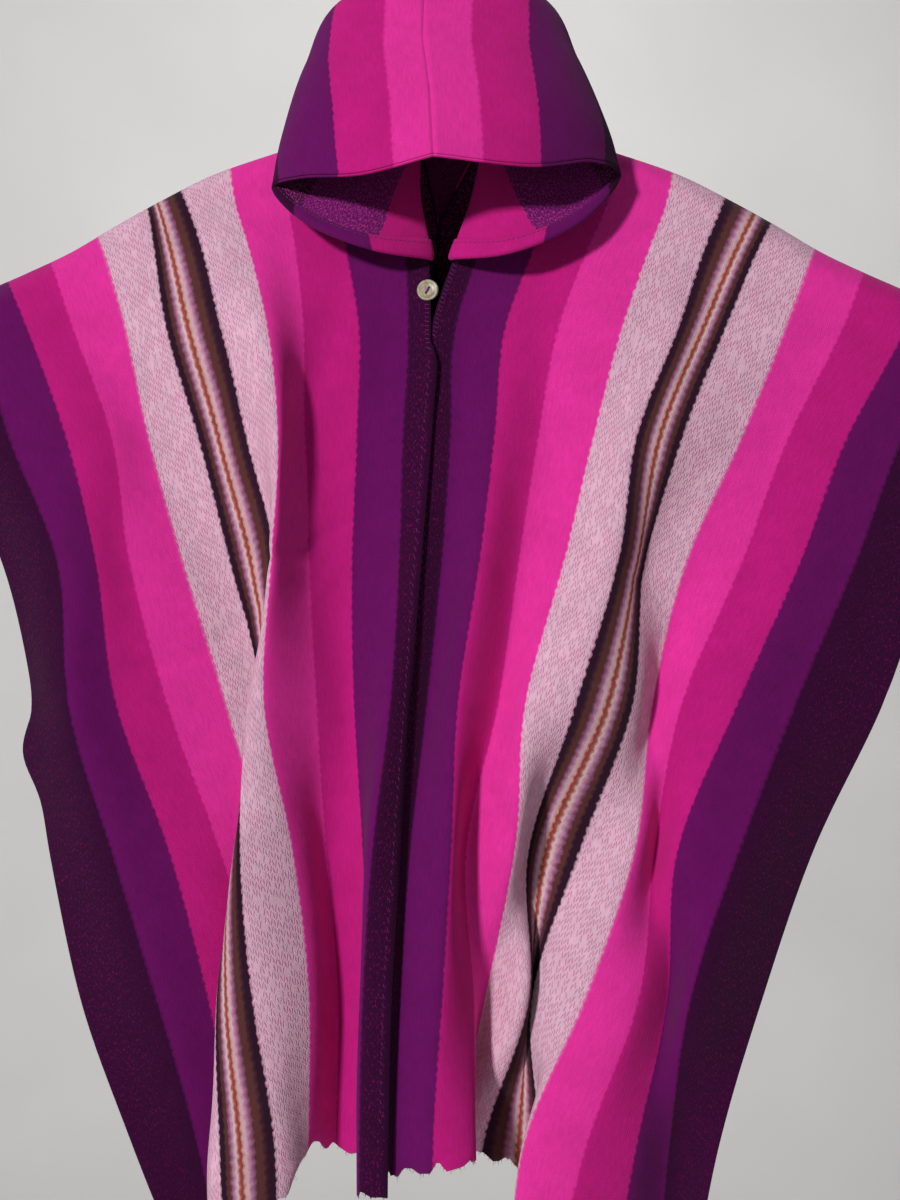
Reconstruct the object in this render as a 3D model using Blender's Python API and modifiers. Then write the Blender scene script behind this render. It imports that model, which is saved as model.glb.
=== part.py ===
"""Hooded wool poncho that hangs from a wooden hanger, in metres, +Z up, front towards -Y.

The origin is the top of the hook's bearing, where a rail or peg holds it.
Two loom widths, left and right as seen from the front, run over the shoulders.
They are joined by centre seams in front and behind, below a slit for the head.
A hood of two halves is sewn into the slit, and its peak hangs from the hook's wire.

The front's tables give each stripe edge's place in millimetres, as it is seen from
in front at EYE. toward_eye() takes such a place to its own depth on the line of sight.
"""

import math

import bmesh
import bpy
import numpy as np
from mathutils import Vector

MM = 0.001
WALL = 2.4 * MM              # thickness of the brushed cloth
SEAM_GAP = 0.3 * MM          # between pieces that are sewn together
SLIP = 7.0 * MM              # the cloth hangs this far to the left of the hook
CLOTH_LENGTH = 850.0 * MM    # shoulder to hem, along the cloth
EYE = np.array([3.2, -1200.0, -637.5]) * MM

# where the cloth is cut or changes stripe, from the centre seam outwards, in mm of cloth
STRIPE_EDGES = (0, 19, 61, 102, 143, 185, 204, 224, 266, 307, 348, 392, 456)

# height of the fold over the shoulder, against the distance from the hook, both in mm
RIDGE = ((0, -229), (47, -235), (81, -242), (121, -252), (160, -264), (199, -278), (241, -299),
         (279, -320), (318, -343), (356, -361), (392, -377), (432, -398), (475, -425), (540, -470))

# heights of the front's sections, in mm, as seen from in front
SECTIONS = (-240, -300, -340, -400, -500, -600, -725, -850, -975, -1100, -1250)

# a row for each section: how far right of the neck's centre each stripe edge is seen, in mm
LEFT_ACROSS = (
    (-14, -35, -82, -129, -178, -243, -262, -274, -322, -372, -420, -468, -530),
    (-14, -34, -84, -127, -172, -214, -236, -248, -300, -347, -394, -440, -500),
    (-6, -27, -78, -121, -160, -200, -224, -241, -285, -333, -377, -421, -480),
    (-3, -24, -68, -115, -146, -186, -210, -232, -267, -313, -352, -394, -453),
    (-9, -29, -69, -112, -136, -162, -184, -204, -246, -278, -316, -364, -423),
    (-17, -32, -73, -110, -141, -139, -157, -178, -219, -264, -292, -325, -372),
    (-27, -40, -71, -104, -148, -160, -148, -150, -181, -231, -274, -314, -343),
    (-35, -55, -63, -95, -124, -168, -172, -165, -150, -186, -229, -277, -329),
    (-43, -63, -56, -85, -111, -158, -178, -187, -160, -150, -196, -239, -303),
    (-46, -66, -58, -87, -112, -139, -165, -185, -190, -160, -172, -204, -259),
    (-47, -68, -60, -88, -112, -138, -160, -180, -186, -160, -156, -177, -198),
)
# the same places' depth behind the hanger's plane: less than nothing is nearer the eye
LEFT_DEPTH = (
    (-16, -16, -15, -14, -14, -13, -13, -13, -12, -12, -12, -12, -12),
    (-24, -22, -18, -16, -15, -14, -13, -13, -12, -12, -12, -12, -12),
    (-29, -27, -25, -26, -34, -29, -24, -21, -17, -18, -20, -19, -14),
    (-36, -34, -34, -40, -60, -48, -38, -32, -24, -28, -32, -30, -16),
    (-42, -38, -30, -36, -72, -42, -36, -32, -24, -38, -46, -46, -20),
    (-46, -42, -30, -40, -76, -36, -26, -22, -26, -38, -50, -54, -22),
    (-54, -58, -32, -40, -70, -52, -32, -22, -22, -32, -44, -54, -14),
    (-62, -68, -30, -18, -52, -66, -62, -44, -16, -24, -34, -42, -14),
    (-74, -74, -32, -16, -50, -70, -66, -56, -20, -14, -24, -34, -18),
    (-82, -82, -38, -18, -52, -78, -80, -78, -50, -16, -16, -22, -26),
    (-84, -84, -40, -20, -54, -78, -82, -80, -60, -18, -16, -20, -26),
)
RIGHT_ACROSS = (
    (40, 60, 106, 152, 202, 264, 292, 318, 362, 408, 452, 500, 568),
    (27, 47, 94, 144, 194, 242, 269, 292, 337, 384, 431, 478, 546),
    (13, 34, 81, 127, 179, 226, 250, 272, 320, 369, 420, 467, 535),
    (-7, 15, 59, 104, 158, 206, 225, 247, 298, 347, 400, 448, 516),
    (-9, 10, 48, 85, 132, 168, 184, 207, 258, 298, 347, 394, 465),
    (-16, 3, 36, 69, 108, 154, 168, 176, 213, 261, 310, 356, 422),
    (-26, -10, 17, 51, 75, 117, 140, 165, 182, 208, 255, 303, 377),
    (-34, -24, 11, 24, 65, 77, 89, 121, 167, 184, 204, 255, 318),
    (-42, -32, 3, 29, 40, 76, 78, 81, 126, 170, 195, 215, 275),
    (-45, -38, -4, 32, 14, 38, 65, 87, 74, 127, 168, 196, 238),
    (-46, -38, -4, 34, 12, 27, 57, 78, 63, 91, 142, 184, 210),
)
RIGHT_DEPTH = (
    (-16, -16, -15, -14, -14, -13, -13, -13, -12, -12, -12, -12, -12),
    (-24, -22, -18, -16, -15, -14, -13, -13, -12, -12, -12, -12, -12),
    (-29, -26, -25, -25, -25, -23, -21, -20, -18, -16, -15, -14, -14),
    (-34, -30, -34, -36, -38, -34, -32, -30, -26, -22, -20, -18, -16),
    (-39, -36, -44, -36, -42, -52, -48, -44, -34, -30, -28, -24, -20),
    (-43, -36, -54, -34, -44, -58, -46, -32, -28, -34, -38, -32, -22),
    (-51, -41, -62, -38, -62, -70, -66, -56, -24, -44, -50, -42, -32),
    (-59, -52, -72, -38, -58, -18, -20, -26, -42, -16, -38, -44, -20),
    (-71, -64, -76, -44, -18, -42, -14, -26, -42, -40, -18, -48, -22),
    (-79, -73, -84, -72, -26, -16, -14, -18, -56, -60, -46, -26, -40),
    (-80, -74, -86, -74, -28, -16, -14, -18, -58, -62, -48, -28, -40),
)

# how much longer than CLOTH_LENGTH each front hangs along these stripe edges, in mm
LEFT_LONGER = (40, 36, 18, 1, -14, 4, 6, 2, 0, 0, 0, 0, 0)
RIGHT_LONGER = (30, 26, 12, 3, 4, 12, 6, 0, 0, 0, 0, 0, 0)

# the back's pipes: its columns in mm of cloth, its heights, and each place as it is
BACK_COLUMNS = (0, 60, 120, 185, 250, 320, 390, 456)
BACK_SECTIONS = (-240, -330, -500, -700, -900, -1100, -1250)
BACK_LEFT_ACROSS = (
    (-40, -98, -156, -219, -277, -339, -405, -466),
    (0, -62, -130, -199, -262, -322, -390, -450),
    (0, -58, -112, -168, -222, -284, -344, -398),
    (0, -53, -101, -147, -195, -245, -291, -330),
    (0, -49, -91, -131, -171, -211, -247, -281),
    (0, -45, -81, -117, -149, -181, -209, -231),
    (0, -44, -78, -112, -142, -172, -197, -217),
)
BACK_RIGHT_ACROSS = (
    (68, 126, 184, 246, 306, 372, 432, 490),
    (0, 72, 146, 217, 276, 342, 402, 464),
    (0, 62, 128, 189, 246, 310, 366, 424),
    (0, 60, 112, 166, 216, 268, 314, 360),
    (0, 53, 99, 146, 192, 232, 266, 294),
    (0, 49, 88, 126, 160, 190, 214, 234),
    (0, 47, 84, 120, 150, 177, 198, 216),
)
BACK_LEFT_DEPTH = (
    (12, 12, 12, 12, 12, 12, 12, 12),
    (14, 15, 16, 17, 16, 17, 15, 14),
    (17, 30, 19, 33, 18, 32, 20, 15),
    (19, 44, 20, 50, 19, 54, 24, 40),
    (22, 50, 19, 63, 21, 66, 25, 62),
    (24, 57, 20, 72, 20, 74, 26, 72),
    (24, 58, 21, 74, 20, 76, 28, 74),
)
BACK_RIGHT_DEPTH = (
    (12, 12, 12, 12, 12, 12, 12, 12),
    (14, 16, 15, 17, 16, 16, 15, 14),
    (17, 25, 24, 21, 34, 20, 26, 15),
    (19, 37, 29, 24, 54, 22, 44, 26),
    (22, 52, 24, 36, 64, 20, 60, 40),
    (24, 60, 22, 52, 68, 21, 72, 46),
    (24, 62, 22, 56, 70, 22, 74, 48),
)

# the hood: for each line from the rim (0) to the back seam (1), its places between the neck
# seam (0) and the crown seam (1), outwards from the hook's line as seen and in depth, in mm
HOOD_LINES = (0, 0.25, 0.5, 0.75, 1)
HOOD_STEPS = (0.17, 0.33, 0.5, 0.67, 0.83, 1)
HOOD_LEFT_ACROSS = (
    (60, 117, 147, 124, 72, -11),
    (73, 120, 139, 120, 69, -14),
    (74, 108, 120, 101, 60, -20),
    (54, 82, 90, 74, 46, -18),
    (0, 0, 0, 0, 0, 0),
)
HOOD_LEFT_HEIGHT = (
    (-339, -317, -287, -277, -274, -258),
    (-290, -274, -246, -228, -212, -202),
    (-226, -216, -187, -168, -157, -149),
    (-230, -190, -144, -119, -106, -98),
    (-280, -234, -187, -140, -89, -47),
)
HOOD_RIGHT_ACROSS = (
    (50, 112, 147, 124, 72, -11),
    (66, 116, 137, 117, 69, -14),
    (70, 104, 113, 97, 60, -20),
    (52, 78, 84, 69, 44, -18),
    (0, 0, 0, 0, 0, 0),
)
HOOD_RIGHT_HEIGHT = (
    (-342, -317, -277, -263, -267, -258),
    (-291, -272, -240, -222, -210, -202),
    (-226, -214, -184, -165, -156, -149),
    (-230, -190, -143, -118, -106, -98),
    (-280, -234, -187, -140, -89, -47),
)
HOOD_DEPTH = (
    (-58, -56, -40, -70, -98, -112),
    (-42, -34, -36, -66, -86, -90),
    (-10, -12, -22, -46, -58, -62),
    (25, 17, 0, -18, -30, -34),
    (24, 26, 24, 18, 10, 0),
)
# the crown seam from the rim to the peak: across, height and depth as seen, in mm
CROWN_SEAM = ((-11, -258, -112), (-14, -205, -90), (-20, -160, -66), (-18, -110, -40),
              (-1, -64, -11), (0, -47, 0))
# the hood's back seam from its foot to the peak: across, depth and height, in metres
BACK_SEAM = np.array([(-7, 24, -300), (0, 14, -140), (0, 0, -50)]) * MM
HOOD_STAND = 6.0 * MM        # how far the hood stands off the slit's edge before it turns
HOOD_FOOT = -355.0 * MM      # height of the hood's lowest corners, at the slit's edges
WIRE_ROOM = 3.0 * MM         # half the gap that the peak leaves round the wire
WIRE_NEAR = 9.0 * MM         # cloth this near the wire, before or behind it, keeps to its own side

SHOULDER_ROWS = (0, 3, 7, 12, 20)
SHOULDER_ROUND = 14.0 * MM   # how far down the cloth is still turning over the arm
SHOULDER_BLEND = 120.0 * MM  # length over which the back comes to the front's line
SLIT_FRONT = 205.0 * MM      # the slit's length in front of the shoulder, along its edge
SLIT_HALF = 3.0 * MM         # half the width that the slit stands open
SLIT_END = 6.0 * MM          # length of its rounded end
SLIT_PULL = 30.0 * MM        # cloth beside the slit that gives way for it
# the kink in the left front's outer edge: its height as seen, reach and half height, in mm
KINK = (-765, 14, 30)
KINK_CLOTH = 70.0 * MM       # width of the cloth that the kink bends
SLIT_FOOT = -314.0 * MM      # height where the slit ends behind
SLIT_GIVES = 120.0 * MM      # width of the back's cloth that gives way beside it
LAP = 3.5 * MM               # how far each front passes the seam's line
LAP_RAMP = 14.0 * MM         # length below the slit over which the lap grows to its width
LAP_ROOM = 1.1 * MM          # air between the left front and the edge it laps over
FOLD_ROOM = 0.12             # length added below the hem before a line is measured off, in metres
FINE_STEPS = 260             # points along a stripe edge before it is measured off

FRONT_COLUMNS = 28
FRONT_ROWS = 30
BACK_COLUMNS_CUT = 20
BACK_ROWS = 20
BACK_SHORTER = 8.0 * MM      # the back's lines are cut this much shorter
ROW_SPREAD = 1.15            # above 1 the rows are closer together near the shoulder
HOOD_COLUMNS = 15
HOOD_ROWS = 14
HOOD_SECOND_ROW = 0.05       # places of the rows next to the neck seam
HOOD_THIRD_ROW = 0.12
HOOD_SPREAD = 1.15           # the hood starts this much further in than its seam

ARM_REACH = 245.0 * MM
ARM_THICK = 10.0 * MM
ARM_TALL = 15.0 * MM         # at the neck
ARM_TAPER = 1.0 * MM         # how much lower the arm is at its end
ARM_END = 0.97               # share of the reach where the rounded end starts
ARM_SECTIONS = 27
ARM_AROUND = 14
ARM_CLEAR = 2.6 * MM         # from the middle of the cloth to the arm's top
WIRE = 3.2 * MM
HOOK_RADIUS = 21.6 * MM      # of the wire's own centre line
HOOK_TURN = 195              # degrees of the arch
# the stem from the arms to the arch's start, as x and z in mm, above its foot
STEM = ((0, -180), (0, -120), (0, -75), (0, -44), (2, -39), (7, -34), (14, -29.5), (19.5, -25))
BUTTON_ACROSS = 18.0 * MM
BUTTON_THICK = 2.6 * MM
BUTTON_HOLE = 2.2 * MM
HOLE_FROM_MIDDLE = 2.4 * MM
BUTTON_SOFT = 0.6 * MM       # rounding of the button's edges
BUTTON_HEIGHT = -380.5 * MM
BUTTON_INSET = 2.0 * MM      # of its middle from the slit's edge

WOOL_PURPLE = (0.127, 0.011, 0.107)
WOOL_MAGENTA = (0.45, 0.012, 0.15)
BEECH = (0.55, 0.36, 0.19)
STEEL = (0.62, 0.62, 0.63)
HORN = (0.42, 0.37, 0.30)

# parts of a grid of points: its edges at the centre, at its far side, along its top and end
CENTRE = (0, slice(None))
LAST_COLUMN = (-1, slice(None))
SHOULDER = (slice(None), 0)
CROWN = (slice(None), -1)


def smooth_read(places, values, at):
    """Value at `at` of a soft curve through values at rising places."""
    places = np.asarray(places, float)
    values = np.asarray(values, float)
    at = np.asarray(at, float)
    steps = np.diff(places)
    slopes = np.diff(values, axis=0) / steps.reshape((-1,) + (1,) * (values.ndim - 1))
    weight = (steps[1:] / (steps[1:] + steps[:-1])).reshape((-1,) + (1,) * (values.ndim - 1))
    inner = slopes[:-1] * weight + slopes[1:] * (1 - weight)
    tangents = np.concatenate([slopes[:1], inner, slopes[-1:]])
    span = np.clip(np.searchsorted(places, at) - 1, 0, len(steps) - 1)
    shape = at.shape + (1,) * (values.ndim - 1)
    step = steps[span].reshape(shape)
    t = ((at - places[span]) / steps[span]).reshape(shape)
    a, b = values[span], values[span + 1]
    ta, tb = tangents[span] * step, tangents[span + 1] * step
    curve = (a * (2 * t ** 3 - 3 * t ** 2 + 1) + ta * (t ** 3 - 2 * t ** 2 + t)
             + b * (3 * t ** 2 - 2 * t ** 3) + tb * (t ** 3 - t ** 2))
    before = a + ta * t
    beyond = b + tb * (t - 1)
    return np.where(t < 0, before, np.where(t > 1, beyond, curve))


def ridge_height(x):
    """Height of the fold over the shoulder at x."""
    out, up = np.array(RIDGE, float).T * MM
    return smooth_read(out, up, np.abs(x))


def toward_eye(x, z, depth):
    """The place at this depth that is seen from EYE at (x, z) on the hanger's plane."""
    share = (depth - EYE[1]) / -EYE[1]
    return np.stack([EYE[0] + (x - EYE[0]) * share, depth + 0 * x, EYE[2] + (z - EYE[2]) * share], -1)


def over_shoulder(drop):
    """0 on the fold over the shoulder, 1 where the cloth hangs clear of the arm."""
    fall = np.clip(1 - drop / SHOULDER_ROUND, 0, 1)
    return np.sqrt(1 - fall ** 2)


def measured_off(path, lengths):
    """Points of a path at these lengths along it."""
    run = np.concatenate([[0], np.cumsum(np.linalg.norm(np.diff(path, axis=0), axis=1))])
    return np.stack([np.interp(lengths, run, path[:, k]) for k in range(3)], -1)


def hang(columns, sections, across, depth, u, lengths, seen):
    """One line of cloth, u metres from the centre seam, at lengths down from the shoulder."""
    heights = -np.array(sections, float) * MM
    cuts = np.array(columns, float) * MM
    places = smooth_read(cuts, np.array(across, float).T * MM, np.array([u]))[0] - SLIP
    depths = smooth_read(cuts, np.array(depth, float).T * MM, np.array([u]))[0]
    top = 0.3
    for _ in range(12):
        top = -float(ridge_height(smooth_read(heights, places, np.array([top]))[0]))
    share = np.linspace(0, 1, FINE_STEPS) ** 2
    fall = top + share * (lengths[-1] + FOLD_ROOM)
    x = smooth_read(heights, places, fall)
    y = smooth_read(heights, depths, fall) * over_shoulder(fall - top)
    if seen:
        path = toward_eye(x, -fall, y)
    else:
        path = np.stack([x, y, -fall], -1)
    return measured_off(path, lengths)


def down_rows(count, length):
    """Lengths down the cloth, close together over the shoulder."""
    over = np.array(SHOULDER_ROWS) * MM
    share = np.linspace(0, 1, count - len(over) + 1)[1:]
    return np.concatenate([over, over[-1] + (length - over[-1]) * share ** ROW_SPREAD])


def normals(grid):
    """Unit normal at each point of a grid of points."""
    along = np.gradient(grid, axis=0)
    down = np.gradient(grid, axis=1)
    out = np.cross(along, down)
    return out / np.maximum(np.linalg.norm(out, axis=2, keepdims=True), 1e-9)


def material(name, colour, roughness, metallic=0.0):
    made = bpy.data.materials.new(name)
    made.use_nodes = True
    shader = made.node_tree.nodes["Principled BSDF"]
    shader.inputs["Base Color"].default_value = (*colour, 1.0)
    shader.inputs["Roughness"].default_value = roughness
    shader.inputs["Metallic"].default_value = metallic
    return made


def keep(name, mesh, finish, collection):
    piece = bpy.data.objects.new(name, mesh)
    mesh.materials.append(finish)
    mesh.shade_smooth()
    mesh.set_sharp_from_angle(angle=math.radians(50))
    collection.objects.link(piece)
    return piece


def wall(name, grid, outward, finish, collection):
    """A closed sheet of cloth, WALL thick, about a grid of points."""
    half = outward * WALL / 2
    columns, rows = grid.shape[:2]
    shell = bmesh.new()
    faces = [[[shell.verts.new(side[i, j]) for j in range(rows)] for i in range(columns)]
             for side in (grid + half, grid - half)]
    outer, inner = faces
    for i in range(columns - 1):
        for j in range(rows - 1):
            shell.faces.new((outer[i][j], outer[i + 1][j], outer[i + 1][j + 1], outer[i][j + 1]))
            shell.faces.new((inner[i][j], inner[i][j + 1], inner[i + 1][j + 1], inner[i + 1][j]))
    rim = ([(i, 0) for i in range(columns)] + [(columns - 1, j) for j in range(1, rows)]
           + [(i, rows - 1) for i in range(columns - 2, -1, -1)] + [(0, j) for j in range(rows - 2, 0, -1)])
    for (a, b), (c, d) in zip(rim, rim[1:] + rim[:1]):
        shell.faces.new((outer[a][b], inner[a][b], inner[c][d], outer[c][d]))
    bmesh.ops.triangulate(shell, faces=shell.faces[:])
    bmesh.ops.recalc_face_normals(shell, faces=shell.faces[:])
    mesh = bpy.data.meshes.new(name)
    shell.to_mesh(mesh)
    shell.free()
    return keep(name, mesh, finish, collection)


def front_grid(side, columns, rows):
    """Points of one front, from the centre outwards and down from the shoulder."""
    across, depth = (LEFT_ACROSS, LEFT_DEPTH) if side < 0 else (RIGHT_ACROSS, RIGHT_DEPTH)
    longer = np.array(LEFT_LONGER if side < 0 else RIGHT_LONGER, float) * MM
    extra = smooth_read(np.array(STRIPE_EDGES) * MM, longer, columns)
    lengths = rows + extra[:, None] * (rows / CLOTH_LENGTH) ** 2
    grid = np.stack([hang(STRIPE_EDGES, SECTIONS, across, depth, u, down, True)
                     for u, down in zip(columns, lengths)])
    grid[:, 0, 1] = -SEAM_GAP / 2
    beside = np.clip(1 - columns / SLIT_PULL, 0, 1)[:, None] ** 1.5
    opening = SLIT_HALF * np.sqrt(np.clip((SLIT_FRONT - rows) / SLIT_END, 0, 1))
    grid[..., 0] += side * beside * opening
    if side < 0:
        height, reach, half = np.array(KINK) * MM
        outer_edge = STRIPE_EDGES[-1] * MM
        outside = np.clip(1 - (outer_edge - columns) / KINK_CLOTH, 0, 1)[:, None] ** 2
        grid[..., 0] -= reach * outside * np.exp(-((grid[..., 2] - height) / half) ** 2)
        reach = LAP * np.clip((rows - SLIT_FRONT) / LAP_RAMP, 0, 1)
        outward = grid[0] - grid[1]
        grid[0] += outward / np.linalg.norm(outward, axis=1, keepdims=True) * reach[:, None]
        return grid
    lap = front_grid(-1, columns[:3], rows)
    facing = normals(lap)[0]
    inward = lap[1] - lap[0]
    inward /= np.linalg.norm(inward, axis=1, keepdims=True)
    under = lap[0] + inward * 2 * LAP - facing * (WALL + LAP_ROOM)
    for j in range(len(rows)):
        if rows[j] > SLIT_FRONT:
            grid[0, j] = [np.interp(-grid[0, j, 2], -under[:, 2], under[:, k]) for k in range(3)]
    return grid


def back_grid(side, columns, rows, shoulder):
    """Points of one back, whose top meets the front's line of points over the shoulder."""
    left = BACK_LEFT_ACROSS, BACK_LEFT_DEPTH
    across, depth = left if side < 0 else (BACK_RIGHT_ACROSS, BACK_RIGHT_DEPTH)
    grid = np.stack([hang(BACK_COLUMNS, BACK_SECTIONS, across, depth, u, rows, False) for u in columns])
    fade = np.clip(1 - rows / SHOULDER_BLEND, 0, 1)[None, :, None] ** 2
    shift = shoulder - grid[:, 0]
    shift[:, 1] = 0
    grid += shift[:, None] * fade
    grid[:, 0, 1] = SEAM_GAP / 2
    apart = side * (grid[0, :, 0] + SLIP)
    left_open = np.clip((grid[0, :, 2] - SLIT_FOOT) / (grid[0, 0, 2] - SLIT_FOOT), 0, 1)
    moved = np.minimum(apart[0] * left_open - apart, 0)
    gives = np.clip(1 - columns / SLIT_GIVES, 0, 1) ** 2
    grid[..., 0] += side * gives[:, None] * moved
    edge = grid[0]
    edge[:, 0] = side * np.maximum(side * (edge[:, 0] + SLIP), SEAM_GAP / 2) - SLIP
    return grid


def between_columns(line, columns, wanted):
    """Points of a line of cloth's columns, read at other columns."""
    return np.stack([np.interp(wanted, columns, line[:, k]) for k in range(3)], -1)


def neck_seam(front, back, shares):
    """The hood's seam along the slit's edges: places and the cloth's way out, front to back."""
    def cut_at(edge, height):
        last = int(np.argmax(edge[:, 2] < height))
        share = (height - edge[last - 1, 2]) / (edge[last, 2] - edge[last - 1, 2])
        return np.concatenate([edge[:last], [edge[last - 1] + (edge[last] - edge[last - 1]) * share]])
    front, back = cut_at(front, HOOD_FOOT), cut_at(back, SLIT_FOOT)
    path = np.concatenate([front[::-1], back[1:]])
    run = np.concatenate([[0], np.cumsum(np.linalg.norm(np.diff(path, axis=0), axis=1))])
    ridge = run[len(front) - 1]
    lengths = smooth_read([0, 0.5, 1], [0, ridge, run[-1]], shares)
    places = np.stack([np.interp(lengths, run, path[:, k]) for k in range(3)], -1)
    turn = np.clip((lengths - ridge) / SHOULDER_ROUND, -1, 1) * math.pi / 2
    out = np.stack([0 * turn, np.sin(turn), np.cos(turn)], -1)
    return places, out


def hood_grid(side, front, back, columns, rows):
    """Points of one half of the hood, from the rim to the back seam and up from the neck."""
    places, out = neck_seam(front, back, columns)
    inward = np.array([-side * (SEAM_GAP + WALL / 2), 0, 0])
    away = inward * np.clip(np.abs(places[:, :1] + SLIP) / (6 * MM), 0, 1)
    left = HOOD_LEFT_ACROSS, HOOD_LEFT_HEIGHT
    across, height = left if side < 0 else (HOOD_RIGHT_ACROSS, HOOD_RIGHT_HEIGHT)
    net = np.stack([np.array(table, float) * MM for table in (across, height, HOOD_DEPTH)], -1)
    net = smooth_read(HOOD_LINES, net, columns)
    net[:, :-1, 0] *= side
    shaped = toward_eye(net[..., 0], net[..., 1], net[..., 2])
    steps = (0, HOOD_SECOND_ROW) + HOOD_STEPS
    first = places + away * HOOD_SPREAD + out * (2 * SEAM_GAP + WALL / 2)
    second = places + away * HOOD_SPREAD + out * HOOD_STAND
    lines = np.concatenate([first[:, None], second[:, None], shaped], axis=1)
    return smooth_read(steps, lines.transpose(1, 0, 2), rows).transpose(1, 0, 2)


def flat_ends(outward, *ends):
    """Turns the wall's direction at a butted edge into the plane of that edge."""
    for edge, axis in ends:
        end = outward[edge]
        end[:, axis] = 0
        end /= np.maximum(np.linalg.norm(end, axis=1, keepdims=True), 1e-9)
    return outward


def clear_of_seam(side, hood):
    """Keeps a half of the hood on its own side of the crown seam and the back seam."""
    lean = toward_eye(*(np.array(CROWN_SEAM, float).T * MM))
    for line, crown in ((hood[:, -1], True), (hood[-1], False)):
        for place in line:
            line_of_seam = lean if crown else BACK_SEAM
            seam = np.interp(place[2], line_of_seam[:, 2], line_of_seam[:, 0])
            place[0] = seam + side * SEAM_GAP / 2
    near = np.abs(hood[..., 1]) < WIRE_NEAR
    beside = side * np.maximum(side * hood[..., 0], WIRE_ROOM)
    hood[..., 0] = np.where(near, beside, hood[..., 0])
    return hood


def hanger_arms(finish, collection):
    """Two wooden arms in one piece, its rounded top a little under the cloth."""
    bar = bmesh.new()
    rings = []
    for x in np.linspace(-ARM_REACH, ARM_REACH, ARM_SECTIONS):
        share = abs(x) / ARM_REACH
        end = math.sqrt(1 - 0.75 * max(share - ARM_END, 0) / (1 - ARM_END))
        tall, thick = (ARM_TALL - ARM_TAPER * share) * end, ARM_THICK * end
        top = float(ridge_height(np.array([x]))[0]) - ARM_CLEAR
        ring = []
        for k in range(ARM_AROUND):
            turn = 2 * math.pi * k / ARM_AROUND
            height = top - tall / 2 * (1 - math.cos(turn))
            ring.append(bar.verts.new((x, thick / 2 * math.sin(turn), height)))
        rings.append(ring)
    for one, two in zip(rings, rings[1:]):
        for k in range(ARM_AROUND):
            n = (k + 1) % ARM_AROUND
            bar.faces.new((one[k], one[n], two[n], two[k]))
    bar.faces.new(rings[0][::-1])
    bar.faces.new(rings[-1])
    bmesh.ops.recalc_face_normals(bar, faces=bar.faces[:])
    mesh = bpy.data.meshes.new("hanger_arms")
    bar.to_mesh(mesh)
    bar.free()
    keep("hanger_arms", mesh, finish, collection)


def hanger_hook(finish, collection):
    """The wire: a straight stem inside the hood, and an arch with its bearing at the origin."""
    middle = WIRE / 2 - HOOK_RADIUS
    foot = float(ridge_height(np.array([0.0]))[0]) - ARM_CLEAR + SEAM_GAP
    stem = [(0, foot)] + [(x * MM, z * MM) for x, z in STEM]
    arch = [(HOOK_RADIUS * math.cos(a), middle + HOOK_RADIUS * math.sin(a))
            for a in np.linspace(0, math.radians(HOOK_TURN), 20)]
    line = bpy.data.curves.new("hanger_hook", "CURVE")
    line.dimensions = "3D"
    line.bevel_depth = WIRE / 2
    line.bevel_resolution = 2
    line.use_fill_caps = True
    spline = line.splines.new("POLY")
    points = stem + arch
    spline.points.add(len(points) - 1)
    for point, (x, z) in zip(spline.points, points):
        point.co = (x, 0, z, 1)
    wire = bpy.data.objects.new("hanger_hook", line)
    line.materials.append(finish)
    collection.objects.link(wire)


def button(place, outward, finish, collection):
    """A two-hole button that lies on the slit's left edge."""
    cutters = bpy.data.collections.new("cutters")
    bpy.context.scene.collection.children.link(cutters)
    turn = outward.to_track_quat("Z", "Y")
    seat = place + outward * (WALL / 2 + SEAM_GAP + BUTTON_THICK / 2)
    disc = bmesh.new()
    bmesh.ops.create_cone(disc, cap_ends=True, segments=36, radius1=BUTTON_ACROSS / 2,
                          radius2=BUTTON_ACROSS / 2, depth=BUTTON_THICK)
    mesh = bpy.data.meshes.new("button")
    disc.to_mesh(mesh)
    disc.free()
    piece = keep("button", mesh, finish, collection)
    piece.rotation_mode = "QUATERNION"
    piece.rotation_quaternion = turn
    piece.location = seat
    soft = piece.modifiers.new("rounded", "BEVEL")
    soft.width = BUTTON_SOFT
    soft.segments = 2
    for sign in (-1, 1):
        hole = bmesh.new()
        bmesh.ops.create_cone(hole, cap_ends=True, segments=12, radius1=BUTTON_HOLE / 2,
                              radius2=BUTTON_HOLE / 2, depth=4 * BUTTON_THICK)
        cut = bpy.data.meshes.new("button_hole")
        hole.to_mesh(cut)
        hole.free()
        cutter = bpy.data.objects.new("button_hole", cut)
        cutter.rotation_mode = "QUATERNION"
        cutter.rotation_quaternion = turn
        cutter.location = seat + turn @ Vector((0, sign * HOLE_FROM_MIDDLE, 0))
        cutter.hide_render = True
        cutter.display_type = "WIRE"
        cutters.objects.link(cutter)
        drill = piece.modifiers.new("hole", "BOOLEAN")
        drill.operation = "DIFFERENCE"
        drill.object = cutter


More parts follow.
